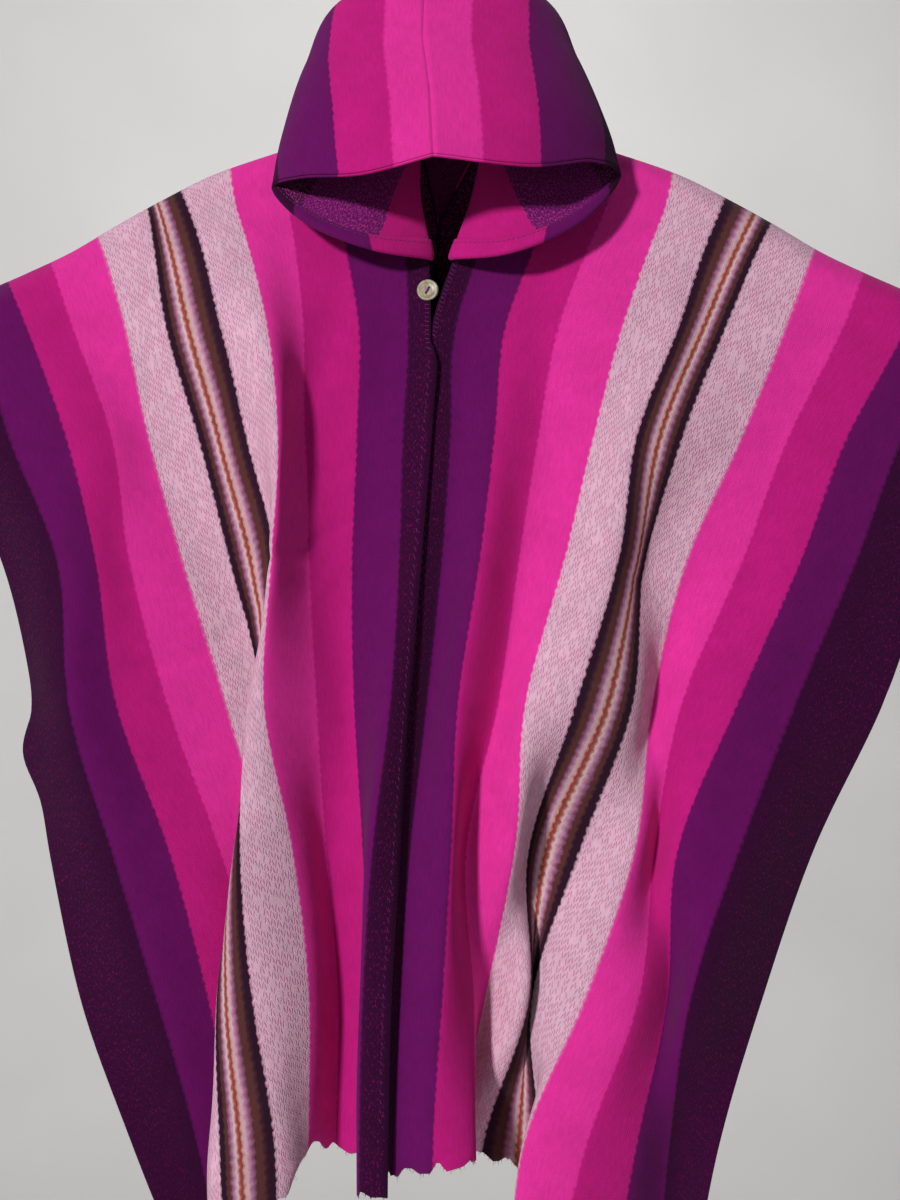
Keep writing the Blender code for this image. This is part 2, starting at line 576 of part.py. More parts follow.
def build():
    for thing in list(bpy.data.objects):
        bpy.data.objects.remove(thing, do_unlink=True)
    poncho = bpy.data.collections.new("poncho")
    bpy.context.scene.collection.children.link(poncho)
    purple = material("wool_stripes", WOOL_PURPLE, 0.95)
    magenta = material("wool_hood", WOOL_MAGENTA, 0.95)
    width = STRIPE_EDGES[-1] * MM
    columns = np.linspace(0, width, FRONT_COLUMNS)
    rows = down_rows(FRONT_ROWS, CLOTH_LENGTH)
    back_rows = down_rows(BACK_ROWS, CLOTH_LENGTH - BACK_SHORTER)
    hood_columns = np.linspace(0, 1, HOOD_COLUMNS)
    hood_rows = np.array([0, HOOD_SECOND_ROW, *np.linspace(HOOD_THIRD_ROW, 1, HOOD_ROWS - 2)])
    for side, word in ((-1, "left"), (1, "right")):
        front = front_grid(side, columns, rows)
        outward = flat_ends(-side * normals(front), (SHOULDER, 1))
        wall("front_" + word, front, outward, purple, poncho)
        if side < 0:
            row = int(np.argmin(abs(front[0, :, 2] - BUTTON_HEIGHT)))
            share = (BUTTON_HEIGHT - front[0, row, 2]) / (front[0, row + 1, 2] - front[0, row, 2])
            place = front[0, row] + (front[0, row + 1] - front[0, row]) * share
            facing = Vector(outward[0, row] + outward[1, row]).normalized()
            inset = Vector(front[1, row] - front[0, row]).normalized() * BUTTON_INSET
            button(Vector(place) + inset, facing, material("horn", HORN, 0.35), poncho)
        back_columns = np.linspace(0, width, BACK_COLUMNS_CUT)
        shoulder = between_columns(front[:, 0], columns, back_columns)
        back = back_grid(side, back_columns, back_rows, shoulder)
        outward = flat_ends(side * normals(back), (CENTRE, 0), (SHOULDER, 1))
        wall("back_" + word, back, outward, purple, poncho)
        hood = clear_of_seam(side, hood_grid(side, front[0], back[0], hood_columns, hood_rows))
        outward = flat_ends(side * normals(hood), (CROWN, 0), (LAST_COLUMN, 0))
        wall("hood_" + word, hood, outward, magenta, poncho)
    hanger_arms(material("beech", BEECH, 0.45), poncho)
    hanger_hook(material("steel_wire", STEEL, 0.3, 1.0), poncho)


build()
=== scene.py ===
"""Looks of the hooded wool poncho: striped cloth, hood, button, stitches, floor, light and camera.

The frame's cloth is drawn again here in finer points, from the same tables as the part:
the front's tables give each stripe edge's place in millimetres as seen from EYE.
A point of cloth is known by two lengths, kept in the UV map "cloth" in metres:
u from the centre seam outwards, and v down from the shoulder, less than 0 behind.
"""

import math

import bmesh
import bpy
import numpy as np
from mathutils import Matrix, Vector


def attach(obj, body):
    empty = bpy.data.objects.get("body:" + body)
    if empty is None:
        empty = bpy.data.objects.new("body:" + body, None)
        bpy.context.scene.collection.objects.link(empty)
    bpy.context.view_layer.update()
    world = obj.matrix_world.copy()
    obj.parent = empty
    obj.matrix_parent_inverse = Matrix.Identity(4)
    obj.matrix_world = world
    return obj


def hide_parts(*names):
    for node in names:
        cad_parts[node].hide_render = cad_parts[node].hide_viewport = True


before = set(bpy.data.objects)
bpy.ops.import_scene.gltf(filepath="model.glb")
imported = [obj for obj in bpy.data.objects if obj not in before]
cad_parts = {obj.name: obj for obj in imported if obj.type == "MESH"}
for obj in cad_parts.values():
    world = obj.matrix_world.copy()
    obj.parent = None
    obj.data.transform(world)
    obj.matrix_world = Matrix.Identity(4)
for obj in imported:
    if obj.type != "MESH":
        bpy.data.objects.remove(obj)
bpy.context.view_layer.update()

# sizes and tables that the part shares

MM = 0.001
WALL = 2.4 * MM              # thickness of the brushed cloth
SEAM_GAP = -0.2 * MM         # sewn edges run this far into each other
SLIP = 7.0 * MM              # the cloth hangs this far to the left of the hook
CLOTH_LENGTH = 850.0 * MM    # shoulder to hem, along the cloth
EYE = np.array([3.2, -1200.0, -637.5]) * MM

# where the cloth is cut or changes stripe, from the centre seam outwards, in mm of cloth
STRIPE_EDGES = (0, 19, 61, 102, 143, 185, 204, 224, 266, 307, 348, 392, 456)

# height of the fold over the shoulder, against the distance from the hook, both in mm
RIDGE = ((0, -229), (47, -235), (81, -242), (121, -252), (160, -264), (199, -278), (241, -299),
         (279, -320), (318, -343), (356, -361), (392, -377), (432, -398), (475, -425), (540, -470))

# heights of the front's sections, in mm, as seen from in front
SECTIONS = (-240, -300, -340, -400, -500, -600, -725, -850, -975, -1100, -1250)

# a row for each section: how far right of the neck's centre each stripe edge is seen, in mm
LEFT_ACROSS = (
    (-14, -35, -82, -129, -178, -243, -262, -274, -322, -372, -420, -468, -530),
    (-14, -34, -84, -127, -172, -214, -236, -248, -300, -347, -394, -440, -500),
    (-6, -27, -78, -121, -160, -200, -224, -241, -285, -333, -377, -421, -480),
    (-3, -24, -68, -115, -146, -186, -210, -232, -267, -313, -352, -394, -453),
    (-9, -29, -69, -112, -136, -162, -184, -204, -246, -278, -316, -364, -423),
    (-17, -32, -73, -110, -141, -139, -157, -178, -219, -264, -292, -325, -372),
    (-27, -40, -71, -104, -148, -160, -148, -150, -181, -231, -274, -314, -343),
    (-35, -55, -63, -95, -124, -168, -172, -165, -150, -186, -229, -277, -329),
    (-43, -63, -56, -85, -111, -158, -178, -187, -160, -150, -196, -239, -303),
    (-46, -66, -58, -87, -112, -139, -165, -185, -190, -160, -172, -204, -259),
    (-47, -68, -60, -88, -112, -138, -160, -180, -186, -160, -156, -177, -198),
)
# the same places' depth behind the hanger's plane: less than nothing is nearer the eye
LEFT_DEPTH = (
    (-16, -16, -15, -14, -14, -13, -13, -13, -12, -12, -12, -12, -12),
    (-24, -22, -18, -16, -15, -14, -13, -13, -12, -12, -12, -12, -12),
    (-29, -27, -25, -26, -34, -29, -24, -21, -17, -18, -20, -19, -14),
    (-36, -34, -34, -40, -60, -48, -38, -32, -24, -28, -32, -30, -16),
    (-42, -38, -30, -36, -72, -42, -36, -32, -24, -38, -46, -46, -20),
    (-46, -42, -30, -40, -76, -36, -26, -22, -26, -38, -50, -54, -22),
    (-54, -58, -32, -40, -70, -52, -32, -22, -22, -32, -44, -54, -14),
    (-62, -68, -30, -18, -52, -66, -62, -44, -16, -24, -34, -42, -14),
    (-74, -74, -32, -16, -50, -70, -66, -56, -20, -14, -24, -34, -18),
    (-82, -82, -38, -18, -52, -78, -80, -78, -50, -16, -16, -22, -26),
    (-84, -84, -40, -20, -54, -78, -82, -80, -60, -18, -16, -20, -26),
)
RIGHT_ACROSS = (
    (40, 60, 106, 152, 202, 264, 292, 318, 362, 408, 452, 500, 568),
    (27, 47, 94, 144, 194, 242, 269, 292, 337, 384, 431, 478, 546),
    (13, 34, 81, 127, 179, 226, 250, 272, 320, 369, 420, 467, 535),
    (-7, 15, 59, 104, 158, 206, 225, 247, 298, 347, 400, 448, 516),
    (-9, 10, 48, 85, 132, 168, 184, 207, 258, 298, 347, 394, 465),
    (-16, 3, 36, 69, 108, 154, 168, 176, 213, 261, 310, 356, 422),
    (-26, -10, 17, 51, 75, 117, 140, 165, 182, 208, 255, 303, 377),
    (-34, -24, 11, 24, 65, 77, 89, 121, 167, 184, 204, 255, 318),
    (-42, -32, 3, 29, 40, 76, 78, 81, 126, 170, 195, 215, 275),
    (-45, -38, -4, 32, 14, 38, 65, 87, 74, 127, 168, 196, 238),
    (-46, -38, -4, 34, 12, 27, 57, 78, 63, 91, 142, 184, 210),
)
RIGHT_DEPTH = (
    (-16, -16, -15, -14, -14, -13, -13, -13, -12, -12, -12, -12, -12),
    (-24, -22, -18, -16, -15, -14, -13, -13, -12, -12, -12, -12, -12),
    (-29, -26, -25, -25, -25, -23, -21, -20, -18, -16, -15, -14, -14),
    (-34, -30, -34, -36, -38, -34, -32, -30, -26, -22, -20, -18, -16),
    (-39, -36, -44, -36, -42, -52, -48, -44, -34, -30, -28, -24, -20),
    (-43, -36, -54, -34, -44, -58, -46, -32, -28, -34, -38, -32, -22),
    (-51, -41, -62, -38, -62, -70, -66, -56, -24, -44, -50, -42, -32),
    (-59, -52, -72, -38, -58, -18, -20, -26, -42, -16, -38, -44, -20),
    (-71, -64, -76, -44, -18, -42, -14, -26, -42, -40, -18, -48, -22),
    (-79, -73, -84, -72, -26, -16, -14, -18, -56, -60, -46, -26, -40),
    (-80, -74, -86, -74, -28, -16, -14, -18, -58, -62, -48, -28, -40),
)

# how much longer than CLOTH_LENGTH each front hangs along these stripe edges, in mm
LEFT_LONGER = (40, 36, 18, 1, -14, 4, 6, 2, 0, 0, 0, 0, 0)
RIGHT_LONGER = (30, 26, 12, 3, 4, 12, 6, 0, 0, 0, 0, 0, 0)

# the back's pipes: its columns in mm of cloth, its heights, and each place as it is
BACK_COLUMNS = (0, 60, 120, 185, 250, 320, 390, 456)
BACK_SECTIONS = (-240, -330, -500, -700, -900, -1100, -1250)
BACK_LEFT_ACROSS = (
    (-40, -98, -156, -219, -277, -339, -405, -466),
    (0, -62, -130, -199, -262, -322, -390, -450),
    (0, -58, -112, -168, -222, -284, -344, -398),
    (0, -53, -101, -147, -195, -245, -291, -330),
    (0, -49, -91, -131, -171, -211, -247, -281),
    (0, -45, -81, -117, -149, -181, -209, -231),
    (0, -44, -78, -112, -142, -172, -197, -217),
)
BACK_RIGHT_ACROSS = (
    (68, 126, 184, 246, 306, 372, 432, 490),
    (0, 72, 146, 217, 276, 342, 402, 464),
    (0, 62, 128, 189, 246, 310, 366, 424),
    (0, 60, 112, 166, 216, 268, 314, 360),
    (0, 53, 99, 146, 192, 232, 266, 294),
    (0, 49, 88, 126, 160, 190, 214, 234),
    (0, 47, 84, 120, 150, 177, 198, 216),
)
BACK_LEFT_DEPTH = (
    (12, 12, 12, 12, 12, 12, 12, 12),
    (14, 15, 16, 17, 16, 17, 15, 14),
    (17, 30, 19, 33, 18, 32, 20, 15),
    (19, 44, 20, 50, 19, 54, 24, 40),
    (22, 50, 19, 63, 21, 66, 25, 62),
    (24, 57, 20, 72, 20, 74, 26, 72),
    (24, 58, 21, 74, 20, 76, 28, 74),
)
BACK_RIGHT_DEPTH = (
    (12, 12, 12, 12, 12, 12, 12, 12),
    (14, 16, 15, 17, 16, 16, 15, 14),
    (17, 25, 24, 21, 34, 20, 26, 15),
    (19, 37, 29, 24, 54, 22, 44, 26),
    (22, 52, 24, 36, 64, 20, 60, 40),
    (24, 60, 22, 52, 68, 21, 72, 46),
    (24, 62, 22, 56, 70, 22, 74, 48),
)

# the hood: for each line from the rim (0) to the back seam (1), its places between the neck
# seam (0) and the crown seam (1), outwards from the hook's line as seen and in depth, in mm
HOOD_LINES = (0, 0.25, 0.5, 0.75, 1)
HOOD_STEPS = (0.17, 0.33, 0.5, 0.67, 0.83, 1)
HOOD_LEFT_ACROSS = (
    (60, 117, 147, 124, 72, -11),
    (73, 120, 139, 120, 69, -14),
    (74, 108, 120, 101, 60, -20),
    (54, 82, 90, 74, 46, -18),
    (0, 0, 0, 0, 0, 0),
)
HOOD_LEFT_HEIGHT = (
    (-339, -317, -287, -277, -274, -258),
    (-290, -274, -246, -228, -212, -202),
    (-226, -216, -187, -168, -157, -149),
    (-230, -190, -144, -119, -106, -98),
    (-280, -234, -187, -140, -89, -47),
)
HOOD_RIGHT_ACROSS = (
    (50, 112, 147, 124, 72, -11),
    (66, 116, 137, 117, 69, -14),
    (70, 104, 113, 97, 60, -20),
    (52, 78, 84, 69, 44, -18),
    (0, 0, 0, 0, 0, 0),
)
HOOD_RIGHT_HEIGHT = (
    (-342, -317, -277, -263, -267, -258),
    (-291, -272, -240, -222, -210, -202),
    (-226, -214, -184, -165, -156, -149),
    (-230, -190, -143, -118, -106, -98),
    (-280, -234, -187, -140, -89, -47),
)
HOOD_DEPTH = (
    (-58, -56, -40, -70, -98, -112),
    (-42, -34, -36, -66, -86, -90),
    (-10, -12, -22, -46, -58, -62),
    (25, 17, 0, -18, -30, -34),
    (24, 26, 24, 18, 10, 0),
)
# the crown seam from the rim to the peak: across, height and depth as seen, in mm
CROWN_SEAM = ((-11, -258, -112), (-14, -205, -90), (-20, -160, -66), (-18, -110, -40),
              (-1, -64, -11), (0, -47, 0))
# the hood's back seam from its foot to the peak: across, depth and height, in metres
BACK_SEAM = np.array([(-7, 24, -300), (0, 14, -140), (0, 0, -50)]) * MM
HOOD_STAND = 6.0 * MM        # how far the hood stands off the slit's edge before it turns
HOOD_FOOT = -355.0 * MM      # height of the hood's lowest corners, at the slit's edges
WIRE_ROOM = 3.0 * MM         # half the gap that the peak leaves round the wire
WIRE_NEAR = 9.0 * MM         # cloth this near the wire, before or behind it, keeps to its own side

SHOULDER_ROUND = 14.0 * MM   # how far down the cloth is still turning over the arm
SHOULDER_BLEND = 120.0 * MM  # length over which the back comes to the front's line
SLIT_FRONT = 205.0 * MM      # the slit's length in front of the shoulder, along its edge
SLIT_HALF = 3.0 * MM         # half the width that the slit stands open
SLIT_END = 6.0 * MM          # length of its rounded end
SLIT_PULL = 30.0 * MM        # cloth beside the slit that gives way for it
# the kink in the left front's outer edge: its height as seen, reach and half height, in mm
KINK = (-765, 14, 30)
KINK_CLOTH = 70.0 * MM       # width of the cloth that the kink bends
SLIT_FOOT = -314.0 * MM      # height where the slit ends behind
SLIT_GIVES = 120.0 * MM      # width of the back's cloth that gives way beside it
LAP = 3.5 * MM               # how far each front passes the seam's line
LAP_RAMP = 14.0 * MM         # length below the slit over which the lap grows to its width
LAP_ROOM = 1.1 * MM          # air between the left front and the edge it laps over
FOLD_ROOM = 0.12             # length added below the hem before a line is measured off, in metres
FINE_STEPS = 260             # points along a stripe edge before it is measured off

HOOD_SECOND_ROW = 0.05       # places of the rows next to the neck seam
HOOD_SPREAD = 1.15           # the hood starts this much further in than its seam
BUTTON_ACROSS = 18.0 * MM
BUTTON_THICK = 2.6 * MM
BUTTON_HEIGHT = -380.5 * MM
BUTTON_INSET = 2.0 * MM      # of its middle from the slit's edge
BUTTON_HOLE = 2.2 * MM
HOLE_FROM_MIDDLE = 2.4 * MM
BACK_SHORTER = 8.0 * MM      # the back's lines are cut this much shorter

# parts of a grid of points: its last column, and the last point of each column
LAST_COLUMN = (-1, slice(None))
CROWN = (slice(None), -1)

# finer points for the looks
LOOM_COLUMNS = 150
LOOM_ROWS = 155              # on each side of the shoulder
HOOD_COLUMNS = 84
HOOD_ROWS = 96
EDGE_STEPS = 4               # faces round a cut edge of cloth

# the colours of the yarns, as they look in even light, and the marl's painted shade (red, green, blue up to
# 255)
DARK = (50, 7, 46)
PURPLE = (98, 14, 88)
MAGENTA = (184, 26, 118)
PINK = (218, 48, 148)
MARL = (214, 170, 190)
# the marl's colour darkened as painted shade, for the sunken gaps between its stitches
MARL_GAP_SHADE = (182, 128, 156)
MARL_PINK = (206, 84, 146)
BLACK = (44, 20, 38)
BROWN = (84, 47, 46)
MAUVE = (160, 96, 138)
CREAM = (214, 180, 182)
RUST = (142, 52, 36)
REVERSE_PINK = (176, 60, 140)
THREAD = (82, 12, 74)
THREAD_LIGHT = (128, 40, 118)
HORN_SPOT = (110, 98, 78)
BEECH_PORE = (128, 88, 54)

# the tones of a mottled or grained finish: place in its noise (0 to 1), colour
HORN_TONES = ((0.30, (96, 88, 70)), (0.48, (158, 148, 122)), (0.70, (196, 188, 162)))
BEECH_TONES = ((0.3, (176, 138, 96)), (0.7, (222, 190, 148)))
STEEL_TONES = ((0.3, (168, 168, 172)), (0.7, (206, 206, 208)))
FLOOR_TONES = ((0.3, (214, 212, 210)), (0.7, (220, 218, 216)))

# the loom's stripes: from, to (mm from the centre seam), colour
STRIPES = (
    (0, 19, DARK), (19, 61, PURPLE), (61, 102, MAGENTA), (102, 143, PINK), (143, 185, MARL),
    (185, 191.5, BLACK), (191.5, 197.5, BROWN), (197.5, 202.5, MAUVE), (202.5, 205, CREAM),
    (205, 208.5, RUST), (208.5, 211, CREAM), (211, 215, MAUVE), (215, 218.5, BROWN),
    (218.5, 224, BLACK), (224, 266, MARL), (266, 307, PINK), (307, 348, MAGENTA),
    (348, 392, PURPLE), (392, 470, DARK),
)
FLAT_COLOURS = (BLACK, RUST, BROWN)     # narrow stripes that keep one colour from edge to edge
PALE_SPANS = ((143, 185), (224, 266))
PURPLE_SPANS = ((0, 61), (348, 470))
# the hood's stripes: from, to (mm along the rim from the crown seam), colour
HOOD_STRIPES = (
    (0, 32, PINK), (32, 79, MAGENTA), (79, 144, PURPLE), (144, 192, DARK),
    (192, 262, PURPLE), (262, 340, MAGENTA),
)
HOOD_PURPLE_SPANS = ((79, 262),)
HOOD_STRIPE_SHIFT = 7        # how much further out the right half's stripes lie, in mm
# where the stitches of the slit's edges start below the shoulder: on the left under the button
SLIT_SEWN = {"left": 163 * MM, "right": 132 * MM}

# grains of the finishes: scale across and down, detail, roughness
WAVER = (500, 260, 1.0, 0.5)             # of the stripes' edges
STREAKS = (520, 90, 3.0, 0.6)            # along the warp
HAIRS = (1500, 620, 2.0, 0.7)
SMALL_FLECKS = (760, 330, 2.0, 0.7)
HORN_GRAIN = (260, 900, 4.0, 0.65)
BEECH_GRAIN = (6, 240, 4.0, 0.6)
BEECH_PORES = (60, 1500, 2.0, 0.5)
DIE_MARKS = (2600, 90, 2.0, 0.5)
WARP_PITCH = 1.9 * MM
WEFT_PITCH = 2.6 * MM
WAVER_REACH = 2.2 * MM       # how far a stripe's edge wanders in all
SCALLOP_PITCH = 8.0 * MM     # of the steps of weft along a stripe's edge
SCALLOP_REACH = 0.4 * MM
# size and share of the marl's slanting gaps, which are painted with shade
MARL_GAP_MARKS = {"Width": 1.9 * MM, "Length": 6.4 * MM, "Share": 0.8}

# soft troughs (depth below 0) and ridges pressed into the cloth by wear and storage:
# half, start u, start v, end u, end v, width, depth, all in mm; v is below 0 behind
CREASES = (
    ("left", 20, 330, 250, 372, 7, -1.6),
    ("left", 250, 372, 456, 352, 7, -1.4),
    ("right", 10, 352, 240, 338, 7, -1.4),
    ("right", 240, 338, 456, 318, 7, -1.4),
    ("left", 60, 120, 130, 300, 16, -2.5),
    ("left", 150, 90, 230, 260, 18, -2.2),
    ("left", 262, 60, 300, 420, 22, 2.4),
    ("left", 380, 130, 410, 430, 20, -2.4),
    ("left", 120, 520, 138, 830, 14, 2.0),
    ("left", 300, 560, 330, 820, 20, -2.2),
    ("right", 70, 110, 130, 330, 16, -2.4),
    ("right", 170, 90, 235, 300, 18, 2.2),
    ("right", 290, 70, 330, 400, 20, -2.4),
    ("right", 400, 150, 420, 470, 20, 2.0),
    ("right", 110, 560, 118, 820, 14, -1.8),
    ("right", 330, 560, 345, 800, 16, 2.0),
    ("left", 40, -340, 440, -360, 7, -1.5),
    ("right", 40, -350, 440, -335, 7, -1.5),
    ("left", 90, -90, 130, -330, 18, 2.2),
    ("left", 250, -120, 270, -420, 20, -2.2),
    ("right", 130, -80, 150, -360, 18, -2.2),
    ("right", 300, -120, 330, -400, 20, 2.2),
)
FRAY = 1.8 * MM              # how far the cut hems wander in and out
UNEVEN = 1.1 * MM            # how far the hand-woven cloth wanders from a smooth fold
YARN_PITCH = 0.9 * MM        # between the loose ends of a hem

# a stitch's thread: share of its length from its middle, share of its thickness, rise in half thicknesses
STITCH_RINGS = ((-0.5, 0.25, -0.7), (-0.38, 0.9, -0.1), (0, 1.0, 0.45), (0.38, 0.9, -0.1), (0.5, 0.25, -0.7))
STITCH_SIDES = 6
# rows of stitches: pitch, length and thickness in mm, and slant in degrees
SLIT_STITCHES = (3.6, 4.4, 0.6, 78)
SEAM_STITCHES = (7.5, 4.0, 0.55, 25)
BAR_STITCHES = (1.3, 4.6, 0.8, 90)
RIM_STITCHES = (4.2, 3.0, 0.55, 6)
# the turned hem of the rim: distance in from the edge and offset inwards of the cloth, in mm
RIM_HEM = ((-1.3, -0.7), (-1.35, 0.6), (-0.5, 1.8), (1.5, 2.35), (4.0, 2.45), (7.0, 2.4), (9.0, 2.2))
HEM_THICK = 1.6 * MM
HEM_MEASURED = 40            # row of the hood along which the hem's distances are measured

# the button from its back to its front: share of its radius, share of half its thickness
BUTTON_PROFILE = ((0, -1), (0.86, -1), (0.97, -0.7), (1, -0.1), (0.985, 0.55), (0.93, 0.95), (0.84, 1),
                  (0.74, 0.85), (0.62, 0.45), (0.4, 0.3), (0, 0.28))
BUTTON_SIDES = 64
HOLE_SIDES = 14
HOLES_TILT = -28             # slant of the two holes' line, in degrees
STRANDS = (-0.55, 0.05, 0.6)             # how far the button's threads lie from that line, in mm
STRAND_THICK = 0.42 * MM     # half the thickness of each

# the pale sweep behind, in metres
FLOOR_HEIGHT = -2.6
FLOOR_FRONT = -4.0
WALL_BEHIND = 4.0
WALL_TOP = 3.0
FLOOR_BEND = 1.2
FLOOR_HALF = 7.0
# the lamps: name, place, size in metres, power in watts, what it is aimed at
LAMPS = (
    ("key", (-4.3, -6.6, 1.9), 0.8, 610.0, (0, 0, -0.6)),
    ("fill", (2.2, -3.6, -0.3), 2.5, 8.0, (0, 0, -0.6)),
    ("back", (0.2, 1.2, 1.6), 2.6, 46.0, (0.2, 4.0, -0.9)),
)
SKY_COLOUR = (0.9, 0.93, 1.0, 1)
SKY_STRENGTH = 0.12
PHOTO_HEIGHT = 1200          # pixels
PIXEL = 0.85 * MM            # size of a pixel of the photograph on the hanger's plane


def smooth_read(places, values, at):
    """Value at `at` of a soft curve through values at rising places."""
    places = np.asarray(places, float)
    values = np.asarray(values, float)
    at = np.asarray(at, float)
    steps = np.diff(places)
    slopes = np.diff(values, axis=0) / steps.reshape((-1,) + (1,) * (values.ndim - 1))
    weight = (steps[1:] / (steps[1:] + steps[:-1])).reshape((-1,) + (1,) * (values.ndim - 1))
    inner = slopes[:-1] * weight + slopes[1:] * (1 - weight)
    tangents = np.concatenate([slopes[:1], inner, slopes[-1:]])
    span = np.clip(np.searchsorted(places, at) - 1, 0, len(steps) - 1)
    shape = at.shape + (1,) * (values.ndim - 1)
    step = steps[span].reshape(shape)
    t = ((at - places[span]) / steps[span]).reshape(shape)
    a, b = values[span], values[span + 1]
    ta, tb = tangents[span] * step, tangents[span + 1] * step
    curve = (a * (2 * t ** 3 - 3 * t ** 2 + 1) + ta * (t ** 3 - 2 * t ** 2 + t)
             + b * (3 * t ** 2 - 2 * t ** 3) + tb * (t ** 3 - t ** 2))
    before = a + ta * t
    beyond = b + tb * (t - 1)
    return np.where(t < 0, before, np.where(t > 1, beyond, curve))


def ridge_height(x):
    """Height of the fold over the shoulder at x."""
    out, up = np.array(RIDGE, float).T * MM
    return smooth_read(out, up, np.abs(x))


def toward_eye(x, z, depth):
    """The place at this depth that is seen from EYE at (x, z) on the hanger's plane."""
    share = (depth - EYE[1]) / -EYE[1]
    return np.stack([EYE[0] + (x - EYE[0]) * share, depth + 0 * x, EYE[2] + (z - EYE[2]) * share], -1)


def over_shoulder(drop):
    """0 on the fold over the shoulder, 1 where the cloth hangs clear of the arm."""
    fall = np.clip(1 - drop / SHOULDER_ROUND, 0, 1)
    return np.sqrt(1 - fall ** 2)


def run_along(path):
    """Length along a line of points, at each of them."""
    return np.concatenate([[0], np.cumsum(np.linalg.norm(np.diff(path, axis=0), axis=1))])


def read_at(lengths, run, values):
    """Rows of values, given at the lengths in run, read at other lengths."""
    return np.stack([np.interp(lengths, run, values[:, k]) for k in range(values.shape[1])], -1)


def measured_off(path, lengths):
    """Points of a path at these lengths along it."""
    return read_at(lengths, run_along(path), path)


def hang(columns, sections, across, depth, u, lengths, seen):
    """One line of cloth, u metres from the centre seam, at lengths down from the shoulder."""
    heights = -np.array(sections, float) * MM
    cuts = np.array(columns, float) * MM
    places = smooth_read(cuts, np.array(across, float).T * MM, np.array([u]))[0] - SLIP
    depths = smooth_read(cuts, np.array(depth, float).T * MM, np.array([u]))[0]
    top = 0.3
    for _ in range(12):
        top = -float(ridge_height(smooth_read(heights, places, np.array([top]))[0]))
    share = np.linspace(0, 1, FINE_STEPS) ** 2
    fall = top + share * (lengths[-1] + FOLD_ROOM)
    x = smooth_read(heights, places, fall)
    y = smooth_read(heights, depths, fall) * over_shoulder(fall - top)
    if seen:
        path = toward_eye(x, -fall, y)
    else:
        path = np.stack([x, y, -fall], -1)
    return measured_off(path, lengths)


def unit(v):
    """Vectors with their lengths brought to 1."""
    return v / np.maximum(np.linalg.norm(v, axis=-1, keepdims=True), 1e-9)


def normals(grid):
    """Unit normal at each point of a grid of points."""
    along = np.gradient(grid, axis=0)
    down = np.gradient(grid, axis=1)
    return unit(np.cross(along, down))


def front_grid(side, columns, rows):
    """Points of one front, from the centre outwards and down from the shoulder."""
    across, depth = (LEFT_ACROSS, LEFT_DEPTH) if side < 0 else (RIGHT_ACROSS, RIGHT_DEPTH)
    longer = np.array(LEFT_LONGER if side < 0 else RIGHT_LONGER, float) * MM
    extra = smooth_read(np.array(STRIPE_EDGES) * MM, longer, columns)
    lengths = rows + extra[:, None] * (rows / CLOTH_LENGTH) ** 2
    grid = np.stack([hang(STRIPE_EDGES, SECTIONS, across, depth, u, down, True)
                     for u, down in zip(columns, lengths)])
    grid[:, 0, 1] = -SEAM_GAP / 2
    beside = np.clip(1 - columns / SLIT_PULL, 0, 1)[:, None] ** 1.5
    opening = SLIT_HALF * np.sqrt(np.clip((SLIT_FRONT - rows) / SLIT_END, 0, 1))
    grid[..., 0] += side * beside * opening
    if side < 0:
        height, reach, half = np.array(KINK) * MM
        outer_edge = STRIPE_EDGES[-1] * MM
        outside = np.clip(1 - (outer_edge - columns) / KINK_CLOTH, 0, 1)[:, None] ** 2
        grid[..., 0] -= reach * outside * np.exp(-((grid[..., 2] - height) / half) ** 2)
        reach = LAP * np.clip((rows - SLIT_FRONT) / LAP_RAMP, 0, 1)
        outward = grid[0] - grid[1]
        grid[0] += outward / np.linalg.norm(outward, axis=1, keepdims=True) * reach[:, None]
        return grid
    lap = front_grid(-1, columns[:3], rows)
    facing = normals(lap)[0]
    inward = lap[1] - lap[0]
    inward /= np.linalg.norm(inward, axis=1, keepdims=True)
    under = lap[0] + inward * 2 * LAP - facing * (WALL + LAP_ROOM)
    for j in range(len(rows)):
        if rows[j] > SLIT_FRONT:
            grid[0, j] = [np.interp(-grid[0, j, 2], -under[:, 2], under[:, k]) for k in range(3)]
    return grid


def back_grid(side, columns, rows, shoulder):
    """Points of one back, whose top meets the front's line of points over the shoulder."""
    left = BACK_LEFT_ACROSS, BACK_LEFT_DEPTH
    across, depth = left if side < 0 else (BACK_RIGHT_ACROSS, BACK_RIGHT_DEPTH)
    grid = np.stack([hang(BACK_COLUMNS, BACK_SECTIONS, across, depth, u, rows, False) for u in columns])
    fade = np.clip(1 - rows / SHOULDER_BLEND, 0, 1)[None, :, None] ** 2
    shift = shoulder - grid[:, 0]
    shift[:, 1] = 0
    grid += shift[:, None] * fade
    grid[:, 0, 1] = SEAM_GAP / 2
    apart = side * (grid[0, :, 0] + SLIP)
    left_open = np.clip((grid[0, :, 2] - SLIT_FOOT) / (grid[0, 0, 2] - SLIT_FOOT), 0, 1)
    moved = np.minimum(apart[0] * left_open - apart, 0)
    gives = np.clip(1 - columns / SLIT_GIVES, 0, 1) ** 2
    grid[..., 0] += side * gives[:, None] * moved
    edge = grid[0]
    edge[:, 0] = side * np.maximum(side * (edge[:, 0] + SLIP), SEAM_GAP / 2) - SLIP
    return grid


